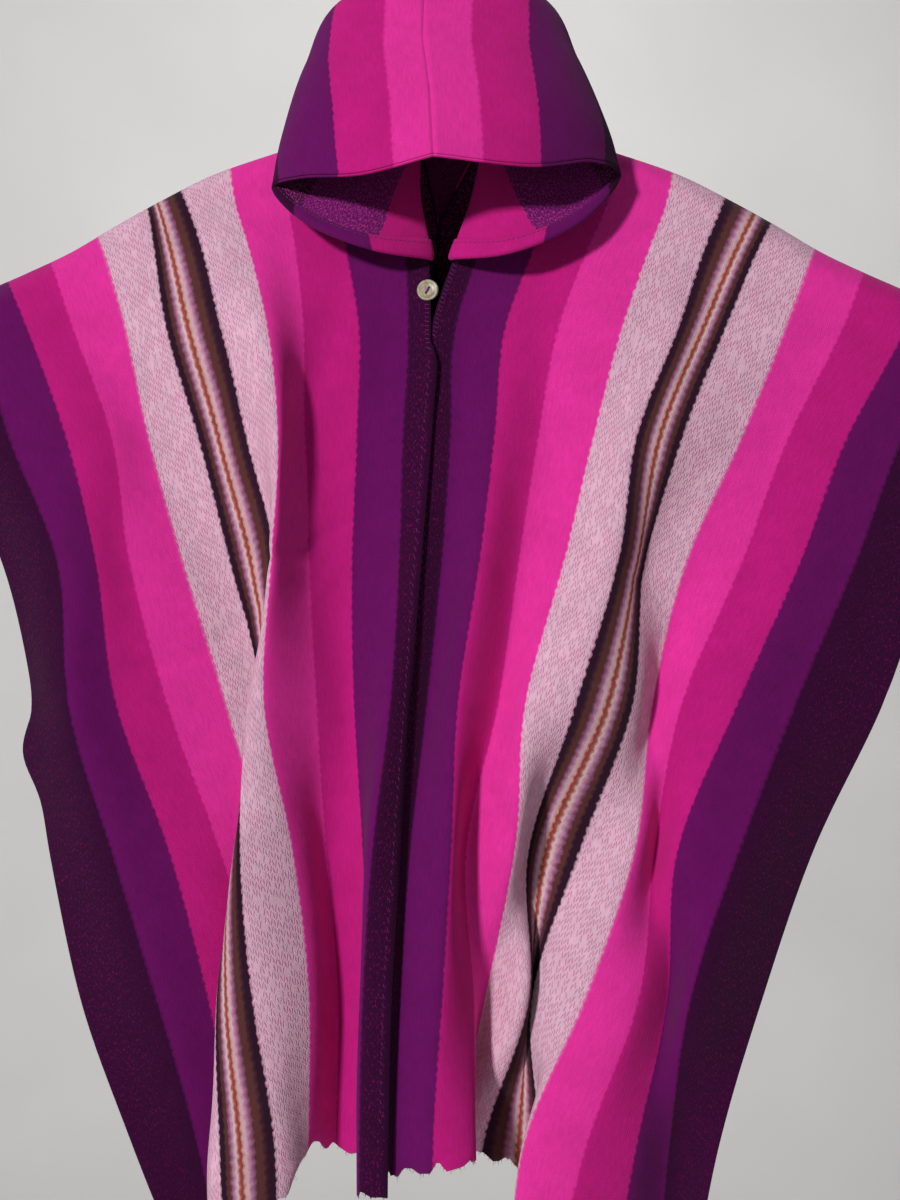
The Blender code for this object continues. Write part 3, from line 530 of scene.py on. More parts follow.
def neck_seam(front, back, shares):
    """The hood's seam along the slit's edges: places and the cloth's way out, front to back."""
    def cut_at(edge, height):
        last = int(np.argmax(edge[:, 2] < height))
        share = (height - edge[last - 1, 2]) / (edge[last, 2] - edge[last - 1, 2])
        return np.concatenate([edge[:last], [edge[last - 1] + (edge[last] - edge[last - 1]) * share]])
    front, back = cut_at(front, HOOD_FOOT), cut_at(back, SLIT_FOOT)
    path = np.concatenate([front[::-1], back[1:]])
    run = run_along(path)
    ridge = run[len(front) - 1]
    lengths = smooth_read([0, 0.5, 1], [0, ridge, run[-1]], shares)
    places = read_at(lengths, run, path)
    turn = np.clip((lengths - ridge) / SHOULDER_ROUND, -1, 1) * math.pi / 2
    out = np.stack([0 * turn, np.sin(turn), np.cos(turn)], -1)
    return places, out


def hood_grid(side, front, back, columns, rows):
    """Points of one half of the hood, from the rim to the back seam and up from the neck."""
    places, out = neck_seam(front, back, columns)
    inward = np.array([-side * (SEAM_GAP + WALL / 2), 0, 0])
    away = inward * np.clip(np.abs(places[:, :1] + SLIP) / (6 * MM), 0, 1)
    left = HOOD_LEFT_ACROSS, HOOD_LEFT_HEIGHT
    across, height = left if side < 0 else (HOOD_RIGHT_ACROSS, HOOD_RIGHT_HEIGHT)
    net = np.stack([np.array(table, float) * MM for table in (across, height, HOOD_DEPTH)], -1)
    net = smooth_read(HOOD_LINES, net, columns)
    net[:, :-1, 0] *= side
    shaped = toward_eye(net[..., 0], net[..., 1], net[..., 2])
    steps = (0, HOOD_SECOND_ROW) + HOOD_STEPS
    first = places + away * HOOD_SPREAD + out * (2 * SEAM_GAP + WALL / 2)
    second = places + away * HOOD_SPREAD + out * HOOD_STAND
    lines = np.concatenate([first[:, None], second[:, None], shaped], axis=1)
    return smooth_read(steps, lines.transpose(1, 0, 2), rows).transpose(1, 0, 2)


def flat_ends(outward, *ends):
    """Turns the wall's direction at a butted edge into the plane of that edge."""
    for edge, axis in ends:
        end = outward[edge]
        end[:, axis] = 0
        end /= np.maximum(np.linalg.norm(end, axis=1, keepdims=True), 1e-9)
    return outward


def clear_of_seam(side, hood):
    """Keeps a half of the hood on its own side of the crown seam and the back seam."""
    lean = toward_eye(*(np.array(CROWN_SEAM, float).T * MM))
    for line, crown in ((hood[:, -1], True), (hood[-1], False)):
        for place in line:
            line_of_seam = lean if crown else BACK_SEAM
            seam = np.interp(place[2], line_of_seam[:, 2], line_of_seam[:, 0])
            place[0] = seam + side * SEAM_GAP / 2
    near = np.abs(hood[..., 1]) < WIRE_NEAR
    beside = side * np.maximum(side * hood[..., 0], WIRE_ROOM)
    hood[..., 0] = np.where(near, beside, hood[..., 0])
    return hood


def down_rows(count, length):
    """Lengths down the cloth, close together over the shoulder."""
    share = np.linspace(0, 1, count)
    return length * (0.35 * share ** 2.2 + 0.65 * share ** 1.05)


# cloth as a closed sheet

def mark_cloth(mesh, places):
    """Keeps each point's place on the flat cloth in the UV map "cloth"."""
    layer = mesh.uv_layers.new(name="cloth")
    corners = np.zeros(len(mesh.loops), int)
    mesh.loops.foreach_get("vertex_index", corners)
    layer.data.foreach_set("uv", places[corners].astype(np.float32).ravel())


def placed(name, data):
    """A new object in the scene."""
    made = bpy.data.objects.new(name, data)
    bpy.context.scene.collection.objects.link(made)
    return made


def round_edge(edge, inner, outward, bulge, half):
    """Points from the outer face round a cut edge to the inner face."""
    away = unit(edge - inner)
    turns = np.linspace(0, math.pi, EDGE_STEPS + 1)[1:-1]
    return [edge + outward * half * math.cos(t) + away * half * math.sin(t) * bulge for t in turns]


def cloth(name, grid, outward, u, v, finishes, bulges=(0.1, 1.0, 1.0, 1.0), thick=WALL):
    """A closed sheet of cloth about a grid of points; bulges are its edges' roundness:
    first column, last row, last column, first row. The second finish is for the inner face."""
    columns, rows = grid.shape[:2]
    count = columns * rows
    numbers = np.arange(count).reshape(columns, rows)
    half = outward * thick / 2
    places = [(grid + half).reshape(-1, 3), (grid - half).reshape(-1, 3)]
    across = [np.stack([u, v], -1).reshape(-1, 2)] * 2
    corner = numbers[:-1, :-1], numbers[1:, :-1], numbers[1:, 1:], numbers[:-1, 1:]
    outer = np.stack(corner, -1).reshape(-1, 4)
    faces = [outer, outer[:, ::-1] + count]
    slots = [np.zeros(len(outer), int), np.ones(len(outer), int)]
    made = 2 * count
    edges = (
        (numbers[0], 1, 0), (numbers[:, -1], -1, 1), (numbers[-1, ::-1], -1, 2), (numbers[::-1, 0], 1, 3),
    )
    flat_grid, flat_out = grid.reshape(-1, 3), outward.reshape(-1, 3)
    flat_uv = across[0]
    for line, inward, which in edges:
        step = (rows if which in (0, 2) else 1) * inward
        rings = round_edge(flat_grid[line], flat_grid[line + step], flat_out[line], bulges[which], thick / 2)
        chain = [line]
        for ring in rings:
            places.append(ring)
            across.append(flat_uv[line])
            chain.append(np.arange(made, made + len(line)))
            made += len(line)
        chain.append(line + count)
        for one, two in zip(chain, chain[1:]):
            side = np.stack([one[:-1], one[1:], two[1:], two[:-1]], -1)
            faces.append(side)
            slots.append(np.zeros(len(side), int))
    places, across = np.concatenate(places), np.concatenate(across)
    faces, slots = np.concatenate(faces), np.concatenate(slots)
    mesh = bpy.data.meshes.new(name)
    mesh.from_pydata(places.tolist(), [], faces.tolist())
    mesh.update()
    mark_cloth(mesh, across)
    for finish in finishes:
        mesh.materials.append(finish)
    mesh.polygons.foreach_set("material_index", slots.astype(np.int32))
    mesh.shade_smooth()
    piece = placed(name, mesh)
    weld(piece)
    return piece


def weld(piece):
    """Joins the corners of the rounded edges and turns all faces outwards."""
    shell = bmesh.new()
    shell.from_mesh(piece.data)
    bmesh.ops.remove_doubles(shell, verts=shell.verts, dist=0.01 * MM)
    bmesh.ops.holes_fill(shell, edges=[e for e in shell.edges if e.is_boundary], sides=12)
    bmesh.ops.recalc_face_normals(shell, faces=shell.faces[:])
    shell.to_mesh(piece.data)
    shell.free()


def pressed(grid, outward, u, v, half):
    """Moves the points of one loom width into its creases and its hand-woven unevenness."""
    move = np.zeros(u.shape)
    for where, u1, v1, u2, v2, width, depth in CREASES:
        if where != half:
            continue
        start, along = np.array([u1, v1]) * MM, np.array([u2 - u1, v2 - v1]) * MM
        share = ((u - start[0]) * along[0] + (v - start[1]) * along[1]) / (along @ along)
        near = np.clip(share, 0, 1)
        off = np.hypot(u - start[0] - near * along[0], v - start[1] - near * along[1])
        fade = np.sin(np.pi * np.clip(0.08 + 0.84 * near, 0, 1)) ** 0.6
        move += depth * MM * fade * np.exp(-(off / (width * MM)) ** 2)
    waves = np.random.default_rng(11 if half == "left" else 23)
    for _ in range(14):
        turn, size, phase = waves.uniform(0, math.pi), waves.uniform(60, 190) * MM, waves.uniform(0, 6.3)
        wave = np.sin(2 * math.pi * (u * math.cos(turn) + 0.6 * v * math.sin(turn)) / size + phase)
        move += UNEVEN * wave / 5
    calm = np.clip(u / (30 * MM), 0, 1) * np.clip(np.abs(v) / (60 * MM), 0, 1)
    return grid + outward * (move * calm)[..., None]


def ragged(grid, u, v, seed):
    """Moves the last points of a loom width's two hems in and out, as the cut cloth frays."""
    waves = np.random.default_rng(seed)
    for end, inner in ((0, 1), (-1, -2)):
        away = unit(grid[:, end] - grid[:, inner])
        wave = np.zeros(len(u))
        for _ in range(7):
            size, phase = waves.uniform(11, 34) * MM, waves.uniform(0, 6.3)
            wave += np.sin(2 * math.pi * u[:, 0] / size + phase)
        depth = np.abs(np.abs(v) - np.abs(v[0, end]))
        near = np.clip(1 - depth / (16 * MM), 0, 1)
        grid = grid + (wave[:, None] * near * FRAY / 2.2)[..., None] * away[:, None]
    return grid


def loom_grid(side):
    """Points of one loom width from the front's hem over the shoulder to the back's hem."""
    columns = np.linspace(0, STRIPE_EDGES[-1] * MM, LOOM_COLUMNS)
    rows = down_rows(LOOM_ROWS, CLOTH_LENGTH)
    front = front_grid(side, columns, rows)
    back = back_grid(side, columns, rows * (1 - BACK_SHORTER / CLOTH_LENGTH), front[:, 0])
    front[:, 0, 1] = 0
    grid = np.concatenate([front[:, ::-1], back[:, 1:]], axis=1)
    v = np.concatenate([rows[::-1], -rows[1:]])
    u, v = np.meshgrid(columns, v, indexing="ij")
    return grid, u, v, front, back


# node groups and materials

def linear(colour):
    """A colour out of 255 as light adds it."""
    return tuple((c / 255 / 12.92) if c / 255 < 0.04045 else ((c / 255 + 0.055) / 1.055) ** 2.4
                 for c in colour)


def solid_colour(colour):
    """A colour out of 255 as an opaque value for a socket."""
    return (*linear(colour), 1)


def tones(table):
    """A ramp's stops from a table of places and colours."""
    return [(place, linear(colour)) for place, colour in table]


def new_group(name, inputs, outputs):
    group = bpy.data.node_groups.new(name, "ShaderNodeTree")
    for label, kind, value in inputs:
        socket = group.interface.new_socket(label, in_out="INPUT", socket_type=kind)
        if value is not None:
            socket.default_value = value
    for label, kind in outputs:
        group.interface.new_socket(label, in_out="OUTPUT", socket_type=kind)
    return group, group.nodes.new("NodeGroupInput"), group.nodes.new("NodeGroupOutput")


def put(tree, socket, value):
    """Feeds a socket from another socket, or sets it to a number or a colour."""
    if isinstance(value, bpy.types.NodeSocket):
        tree.links.new(value, socket)
    elif value is not None:
        socket.default_value = value


def math_of(tree, how, a, b=None, c=None, clamp=False):
    node = tree.nodes.new("ShaderNodeMath")
    node.operation = how
    node.use_clamp = clamp
    for socket, value in zip(node.inputs, (a, b, c)):
        put(tree, socket, value)
    return node.outputs[0]


def scaled(tree, value, by, plus, clamp=False):
    """value * by + plus"""
    return math_of(tree, "MULTIPLY_ADD", value, by, plus, clamp)


def times(tree, one, two):
    return math_of(tree, "MULTIPLY", one, two)


def added(tree, one, two):
    return math_of(tree, "ADD", one, two)


def wave_of(tree, value, pitch):
    """A wave from -1 to 1 that repeats at each pitch."""
    return math_of(tree, "SINE", times(tree, value, 2 * math.pi / pitch))


def mixed(tree, share, one, two, how="MIX"):
    node = tree.nodes.new("ShaderNodeMix")
    node.data_type = "RGBA"
    node.blend_type = how
    put(tree, node.inputs["Factor"], share)
    put(tree, node.inputs["A"], one)
    put(tree, node.inputs["B"], two)
    return node.outputs["Result"]


def ramp_of(tree, value, stops, straight=True):
    node = tree.nodes.new("ShaderNodeValToRGB")
    node.color_ramp.interpolation = "LINEAR" if straight else "CONSTANT"
    elements = node.color_ramp.elements
    while len(elements) > 1:
        elements.remove(elements[-1])
    elements[0].position, elements[0].color = stops[0][0], (*stops[0][1], 1)
    for place, colour in stops[1:]:
        elements.new(place).color = (*colour, 1)
    tree.links.new(value, node.inputs["Fac"])
    return node.outputs["Color"]


def noise_of(tree, place, scale, detail=2.0, roughness=0.5):
    node = tree.nodes.new("ShaderNodeTexNoise")
    tree.links.new(place, node.inputs["Vector"])
    node.inputs["Scale"].default_value = scale
    node.inputs["Detail"].default_value = detail
    node.inputs["Roughness"].default_value = roughness
    return node.outputs["Fac"]


def stretched(tree, place, across, down):
    node = tree.nodes.new("ShaderNodeMapping")
    node.inputs["Scale"].default_value = (across, down, 1)
    tree.links.new(place, node.inputs["Vector"])
    return node.outputs["Vector"]


def grain_of(tree, place, grain):
    """Noise whose marks are longer one way: grain is its scales across and down, detail, roughness."""
    across, down, detail, roughness = grain
    return noise_of(tree, stretched(tree, place, across, down), 1.0, detail, roughness)


def split(tree, place):
    node = tree.nodes.new("ShaderNodeSeparateXYZ")
    tree.links.new(place, node.inputs["Vector"])
    return node.outputs["X"], node.outputs["Y"]


def stripes_group(name, stripes, pale, purple, span):
    """Colour of the stripes, and masks of the pale marl and of the two purples."""
    group, given, out = new_group(
        name, (("Place", "NodeSocketVector", None),),
        (("Colour", "NodeSocketColor"), ("Pale", "NodeSocketFloat"), ("Purple", "NodeSocketFloat")))
    waver = grain_of(group, given.outputs["Place"], WAVER)
    u, v = split(group, given.outputs["Place"])
    u = added(group, u, scaled(group, waver, WAVER_REACH, -WAVER_REACH / 2))
    scallop = wave_of(group, v, SCALLOP_PITCH)
    u = scaled(group, scallop, SCALLOP_REACH, u)
    share = math_of(group, "DIVIDE", u, span)
    stops = []
    for start, end, colour in stripes:
        wide = end - start > 8 or colour in FLAT_COLOURS
        soft = 0.35 if end - start > 8 else 0.6
        ends = (start + soft, end - soft) if wide else ((start + end) / 2,)
        if start == 0:
            ends = ends[1:]
        if end == stripes[-1][1]:
            ends = ends[:1]
        stops += [(place * MM / span, linear(colour)) for place in ends]
    group.links.new(ramp_of(group, share, stops), out.inputs["Colour"])
    for spans, label in ((pale, "Pale"), (purple, "Purple")):
        steps = [(0.0, (0, 0, 0))]
        for start, end in spans:
            steps += [(start * MM / span, (1, 1, 1)), (min(end * MM / span, 1), (0, 0, 0))]
        group.links.new(ramp_of(group, share, steps, straight=False), out.inputs[label])
    return group


def flecks_group():
    """A mask of slanting gaps between the marl's stitches, in staggered ranks, some of them left out;
    painted shade goes into them.
    """
    group, given, out = new_group(
        "marl_gap_marks",
        (("Place", "NodeSocketVector", None), ("Width", "NodeSocketFloat", 2.0 * MM),
         ("Length", "NodeSocketFloat", 4.2 * MM), ("Share", "NodeSocketFloat", 0.5)),
        (("Mask", "NodeSocketFloat"),))
    u, v = split(group, given.outputs["Place"])
    a = math_of(group, "DIVIDE", u, given.outputs["Width"])
    rank = math_of(group, "FLOOR", a)
    b = added(group, math_of(group, "DIVIDE", v, given.outputs["Length"]),
                times(group, rank, 0.37))
    step = math_of(group, "FLOOR", b)
    cell = group.nodes.new("ShaderNodeCombineXYZ")
    group.links.new(rank, cell.inputs["X"])
    group.links.new(step, cell.inputs["Y"])
    chance = group.nodes.new("ShaderNodeTexWhiteNoise")
    group.links.new(cell.outputs["Vector"], chance.inputs["Vector"])
    there = math_of(group, "LESS_THAN", chance.outputs["Value"], given.outputs["Share"])
    along = math_of(group, "SUBTRACT", math_of(group, "FRACT", b), 0.5)
    across = math_of(group, "SUBTRACT", math_of(group, "FRACT", a), 0.5)
    lean = scaled(group, math_of(group, "PINGPONG", rank, 1.0), 1.3, -0.65)
    slant = scaled(group, along, lean, across)
    thin = scaled(group, math_of(group, "ABSOLUTE", slant), -3.4, 1.25, clamp=True)
    ended = scaled(group, math_of(group, "ABSOLUTE", along), -5.0, 2.4, clamp=True)
    mask = times(group, times(group, thin, ended), there)
    group.links.new(mask, out.inputs["Mask"])
    return group


def wool_group():
    """Brushed wool: streaks along the warp, mottling, and the height of its yarns and hairs."""
    group, given, out = new_group(
        "brushed_wool",
        (("Place", "NodeSocketVector", None), ("Colour", "NodeSocketColor", (1, 1, 1, 1))),
        (("Colour", "NodeSocketColor"), ("Height", "NodeSocketFloat")))
    place = given.outputs["Place"]
    streaks = grain_of(group, place, STREAKS)
    mottle = noise_of(group, place, 34.0, 3.0, 0.6)
    hairs = grain_of(group, place, HAIRS)
    light = scaled(group, streaks, 0.42, 0.79)
    light = times(group, light, scaled(group, mottle, 0.30, 0.85))
    light = times(group, light, scaled(group, hairs, 0.36, 0.82))
    grey = group.nodes.new("ShaderNodeCombineColor")
    for channel in grey.inputs:
        group.links.new(light, channel)
    colour = mixed(group, 1.0, given.outputs["Colour"], grey.outputs["Color"], "MULTIPLY")
    group.links.new(colour, out.inputs["Colour"])
    u, v = split(group, place)
    warp = wave_of(group, u, WARP_PITCH)
    weft = wave_of(group, v, WEFT_PITCH)
    weave = times(group, times(group, warp, weft), 0.16)
    height = added(group, times(group, hairs, 0.55), weave)
    height = added(group, height, times(group, streaks, 0.5))
    group.links.new(height, out.inputs["Height"])
    return group


def use(tree, group, **given):
    node = tree.nodes.new("ShaderNodeGroup")
    node.node_tree = group
    for label, value in given.items():
        put(tree, node.inputs[label], value)
    return node.outputs


def start_material(name, roughness, metallic=0.0):
    made = bpy.data.materials.new(name)
    made.use_nodes = True
    shader = made.node_tree.nodes["Principled BSDF"]
    shader.inputs["Roughness"].default_value = roughness
    shader.inputs["Metallic"].default_value = metallic
    return made, made.node_tree, shader


def raised(tree, shader, height, distance, strength=1.0):
    bump = tree.nodes.new("ShaderNodeBump")
    bump.inputs["Distance"].default_value = distance
    bump.inputs["Strength"].default_value = strength
    put(tree, bump.inputs["Height"], height)
    tree.links.new(bump.outputs["Normal"], shader.inputs["Normal"])


def object_place(tree):
    """Coordinates of the piece itself, in metres."""
    return tree.nodes.new("ShaderNodeTexCoord").outputs["Object"]


def cloth_place(tree):
    node = tree.nodes.new("ShaderNodeUVMap")
    node.uv_map = "cloth"
    return node.outputs["UV"]


def wool_material(name, stripes, wool, flecks, reverse):
    """Striped wool: painted shade, pinker in patches of pink yarn, in the slanting gaps between the marl's
    stitches, which are sunk a little, and flecks in the purples, many on the reverse.
    """
    made, tree, shader = start_material(name, 0.95)
    shader.inputs["Sheen Weight"].default_value = 0.05
    shader.inputs["Sheen Roughness"].default_value = 0.5
    shader.inputs["Specular IOR Level"].default_value = 0.05
    place = cloth_place(tree)
    colours = use(tree, stripes, Place=place)
    colour = colours["Colour"]
    patches = noise_of(tree, place, 60.0, 1.0)
    pinker = scaled(tree, patches, 2.2, -0.92, clamp=True)
    marks = use(tree, flecks, Place=place, **MARL_GAP_MARKS)["Mask"]
    # the marl's gaps are painted darker grey-pink as shade, and pinker in patches where pink yarn shows
    shade = mixed(tree, pinker, solid_colour(MARL_GAP_SHADE), solid_colour(MARL_PINK))
    in_marl = times(tree, times(tree, marks, colours["Pale"]), 0.8)
    colour = mixed(tree, in_marl, colour, shade)
    share = 0.1 if reverse else 0.6
    small = grain_of(tree, place, SMALL_FLECKS)
    small = scaled(tree, small, 7.0, -3.3 - share, clamp=True)
    if reverse:
        amount = times(tree, times(tree, small, colours["Purple"]), 0.75)
    else:
        u, _ = split(tree, place)
        near = scaled(tree, u, -1 / (8 * MM), 2.6, clamp=True)
        far = scaled(tree, u, 1 / (30 * MM), -12.9, clamp=True)
        near, far = times(tree, near, 0.34), times(tree, far, 0.24)
        part = added(tree, near, far)
        amount = times(tree, times(tree, small, colours["Purple"]), part)
    colour = mixed(tree, amount, colour, solid_colour(REVERSE_PINK if reverse else MAGENTA))
    brushed = use(tree, wool, Place=place, Colour=colour)
    tree.links.new(brushed["Colour"], shader.inputs["Base Color"])
    height = scaled(tree, in_marl, -0.6, brushed["Height"])
    raised(tree, shader, height, 0.6 * MM, 0.9)
    return made


def thread_material():
    """Dark purple wool thread, two-ply."""
    made, tree, shader = start_material("purple_thread", 0.85)
    place = object_place(tree)
    tone = noise_of(tree, place, 1400.0, 2.0)
    dark, light = linear(THREAD), linear(THREAD_LIGHT)
    tree.links.new(ramp_of(tree, tone, ((0.35, dark), (0.75, light))), shader.inputs["Base Color"])
    raised(tree, shader, tone, 0.2 * MM)
    return made


def horn_material():
    """Mottled beige-grey button with darker grain and a satin polish."""
    made, tree, shader = start_material("horn_button", 0.34)
    place = object_place(tree)
    grain = grain_of(tree, place, HORN_GRAIN)
    spots = noise_of(tree, place, 900.0, 2.0)
    colour = ramp_of(tree, grain, tones(HORN_TONES))
    shade = scaled(tree, spots, -1.6, 1.0, clamp=True)
    colour = mixed(tree, shade, colour, solid_colour(HORN_SPOT))
    tree.links.new(colour, shader.inputs["Base Color"])
    tree.links.new(scaled(tree, grain, 0.25, 0.25), shader.inputs["Roughness"])
    raised(tree, shader, grain, 0.12 * MM)
    return made


def wood_material():
    """Pale beech: long grain along the arms, small dark flecks and a light wax."""
    made, tree, shader = start_material("beech_wood", 0.42)
    place = object_place(tree)
    grain = grain_of(tree, place, BEECH_GRAIN)
    pores = grain_of(tree, place, BEECH_PORES)
    colour = ramp_of(tree, grain, tones(BEECH_TONES))
    dark = scaled(tree, pores, 4.0, -2.5, clamp=True)
    colour = mixed(tree, dark, colour, solid_colour(BEECH_PORE))
    tree.links.new(colour, shader.inputs["Base Color"])
    tree.links.new(scaled(tree, grain, 0.2, 0.32), shader.inputs["Roughness"])
    raised(tree, shader, grain, 0.15 * MM)
    return made


def steel_material():
    """Bright drawn wire with fine marks of the die along it."""
    made, tree, shader = start_material("bright_wire", 0.25, 1.0)
    place = object_place(tree)
    marks = grain_of(tree, place, DIE_MARKS)
    colour = ramp_of(tree, marks, tones(STEEL_TONES))
    tree.links.new(colour, shader.inputs["Base Color"])
    tree.links.new(scaled(tree, marks, 0.2, 0.16), shader.inputs["Roughness"])
    raised(tree, shader, marks, 0.05 * MM)
    return made


# stitches, turned hems, fibres and the button

def plain_piece(name, places, faces, finish, uv=None):
    mesh = bpy.data.meshes.new(name)
    mesh.from_pydata(np.asarray(places).tolist(), [], [list(map(int, face)) for face in faces])
    if uv is not None:
        mark_cloth(mesh, np.asarray(uv))
    mesh.materials.append(finish)
    mesh.shade_smooth()
    return placed(name, mesh)


def stitches(name, path, up, row, finish):
    """Stitches along a path: one short rounded thread for each pitch of the row, turned by its slant."""
    pitch, length, thick = (size * MM for size in row[:3])
    slant = row[3]
    run = run_along(path)
    at = np.arange(pitch, run[-1] - pitch / 2, pitch)
    centre = read_at(at, run, path)
    ahead = read_at(at + 0.5 * MM, run, path)
    lift = unit(read_at(at, run, up))
    along = unit(ahead - centre)
    across = unit(np.cross(lift, along))
    turn = math.radians(slant)
    run_of_thread = along * math.cos(turn) + across * math.sin(turn)
    side = unit(np.cross(lift, run_of_thread))
    around, rings = STITCH_SIDES, STITCH_RINGS
    places, faces = [], []
    for c, d, s, n in zip(centre, run_of_thread, side, lift):
        base = len(places)
        for share, width, rise in rings:
            middle = c + d * share * length + n * rise * thick / 2
            for k in range(around):
                a = 2 * math.pi * k / around
                places.append(middle + (s * math.cos(a) + n * math.sin(a)) * thick / 2 * width)
        for r in range(len(rings) - 1):
            for k in range(around):
                i, j = base + r * around + k, base + r * around + (k + 1) % around
                faces.append((i, j, j + around, i + around))
        last = base + (len(rings) - 1) * around
        faces.append([base + k for k in range(around)][::-1])
        faces.append([last + k for k in range(around)])
    return plain_piece(name, places, faces, finish)


def rim_hem(word, half, out, along, finishes):
    """The hood's edge turned in: a strip that shows the outside's colours, and its line of thread."""
    columns = run_along(half[:, HEM_MEASURED])
    back = unit(half[0] - half[2])
    lines = []
    for distance, offset in RIM_HEM:
        d = max(distance, 0) * MM
        k = min(int(np.searchsorted(columns, d, side="right")) - 1, len(columns) - 2)
        share = (d - columns[k]) / (columns[k + 1] - columns[k])
        base = half[k] * (1 - share) + half[k + 1] * share
        facing = unit(out[k] * (1 - share) + out[k + 1] * share)
        lines.append(base + back * max(-distance, 0) * MM - facing * offset * MM)
    grid = np.stack(lines)[:, 1:]
    facing = np.broadcast_to(-out[0][1:], grid.shape)
    run = np.gradient(grid, axis=0)
    side = np.cross(run, np.gradient(grid, axis=1))
    side = unit(side) * np.sign((side * facing).sum(-1).mean())
    u = np.broadcast_to(along[1:], grid.shape[:2])
    v = np.broadcast_to(np.array([d for d, _ in RIM_HEM])[:, None] * MM, grid.shape[:2])
    hem = cloth("rim_hem_" + word, grid, side, u, v, finishes, (0.6, 0.2, 1.0, 0.2), HEM_THICK)
    return hem, grid[-2] + side[-2] * 0.9 * MM, side[-2]


def fibres(name, edge, away, u, v, seed, finish):
    """Loose ends of yarn along a cut edge, as thin tapering hairs."""
    chance = np.random.default_rng(seed)
    run = run_along(edge)
    at = np.sort(chance.uniform(0, run[-1], int(run[-1] / YARN_PITCH)))
    places, faces, uv = [], [], []
    roots, outs = read_at(at, run, edge), unit(read_at(at, run, away))
    marks = read_at(at, run, np.stack([u, v], -1))
    for root, out, mark in zip(roots, outs, marks):
        length = chance.uniform(1.2, 4.2) * MM
        bend = chance.normal(0, 0.45, 3)
        middle = root + (out + bend * 0.3) * length * 0.55
        tip = root + (out + bend) * length
        width = chance.uniform(0.12, 0.26) * MM
        side = unit(np.cross(out, chance.normal(0, 1, 3)))
        other = unit(np.cross(out, side))
        base = len(places)
        start = root - out * 0.8 * MM
        for centre, share in ((start, 1.0), (middle, 0.8)):
            for k in range(3):
                a = 2 * math.pi * k / 3
                places.append(centre + (side * math.cos(a) + other * math.sin(a)) * width * share)
        places.append(tip)
        uv += [mark] * 7
        for k in range(3):
            n = (k + 1) % 3
            faces.append((base + k, base + n, base + 3 + n, base + 3 + k))
            faces.append((base + 3 + k, base + 3 + n, base + 6))
        faces.append((base + 2, base + 1, base))
    return plain_piece(name, places, faces, finish, uv)


def lathe(profile, steps):
    """Points and faces of a closed round shape from (radius, height) pairs, first and last on the axis."""
    places = [(0, 0, profile[0][1])]
    for r, z in profile[1:-1]:
        places += [(r * math.cos(2 * math.pi * k / steps), r * math.sin(2 * math.pi * k / steps), z)
                   for k in range(steps)]
    places.append((0, 0, profile[-1][1]))
    faces = []
    rings = len(profile) - 2
    for k in range(steps):
        n = (k + 1) % steps
        faces.append((0, 1 + k, 1 + n))
        for r in range(rings - 1):
            a = 1 + r * steps
            faces.append((a + k, a + steps + k, a + steps + n, a + n))
        a = 1 + (rings - 1) * steps
        faces.append((a + k, len(places) - 1, a + n))
    return places, faces


def button_pieces(place, facing, horn, thread):
    """A two-hole button with a raised rim and a dished middle, and the thread that holds it."""
    radius, half = BUTTON_ACROSS / 2, BUTTON_THICK / 2
    profile = [(out * radius, up * half) for out, up in BUTTON_PROFILE]
    places, faces = lathe(profile, BUTTON_SIDES)
    disc = plain_piece("coat_button", places, faces, horn)
    turn = facing.to_track_quat("Z", "Y")
    tilt = math.radians(HOLES_TILT)
    hole_line = Vector((-math.sin(tilt), math.cos(tilt), 0))
    for sign in (-1, 1):
        around = HOLE_SIDES
        ring = [(BUTTON_HOLE / 2 * math.cos(2 * math.pi * k / around),
                 BUTTON_HOLE / 2 * math.sin(2 * math.pi * k / around)) for k in range(around)]
        middle = hole_line * sign * HOLE_FROM_MIDDLE
        drill_places = [(x + middle.x, y + middle.y, z) for z in (-4 * half, 4 * half) for x, y in ring]
        sides = [(k, (k + 1) % around, around + (k + 1) % around, around + k) for k in range(around)]
        ends = [tuple(range(around))[::-1], tuple(range(around, 2 * around))]
        cutter = plain_piece("drill", drill_places, sides + ends, horn)
        drill = disc.modifiers.new("hole", "BOOLEAN")
        drill.operation = "DIFFERENCE"
        drill.object = cutter
        bpy.context.view_layer.update()
        shaped = bpy.data.meshes.new_from_object(disc.evaluated_get(bpy.context.evaluated_depsgraph_get()))
        disc.modifiers.clear()
        disc.data = shaped
        bpy.data.objects.remove(cutter, do_unlink=True)
    disc.data.set_sharp_from_angle(angle=math.radians(40))
    disc.data.transform(turn.to_matrix().to_4x4())
    seat = place + facing * (WALL / 2 + SEAM_GAP + half)
    disc.data.transform(Matrix.Translation(seat))
    strands = bpy.data.curves.new("button_thread", "CURVE")
    strands.dimensions = "3D"
    strands.bevel_depth = STRAND_THICK
    strands.bevel_resolution = 2
    strands.use_fill_caps = True
    for shift in STRANDS:
        route = strands.splines.new("POLY")
        steps = 11
        route.points.add(steps - 1)
        for k in range(steps):
            a = math.pi * k / (steps - 1)
            along = -math.cos(a) * (HOLE_FROM_MIDDLE + 0.1 * MM)
            rise = (0.28 * half + 0.5 * MM) * math.sin(a) ** 0.5 - 2.2 * MM * (1 - math.sin(a) ** 0.35)
            across = Vector((hole_line.y, -hole_line.x, 0)) * shift * MM * (0.5 + 0.5 * math.sin(a))
            point = seat + turn @ (hole_line * along + across + Vector((0, 0, rise)))
            route.points[k].co = (*point, 1)
    strands.materials.append(thread)
    return disc, placed("button_thread", strands)


# camera, floor and light

def camera():
    view = bpy.data.cameras.new("camera")
    view.sensor_width = 36.0
    half_height = PHOTO_HEIGHT / 2 * PIXEL
    view.lens = view.sensor_width / 2 * -EYE[1] / half_height
    eye = placed("camera", view)
    eye.location = EYE
    eye.rotation_euler = (math.pi / 2, 0, 0)
    bpy.context.scene.camera = eye


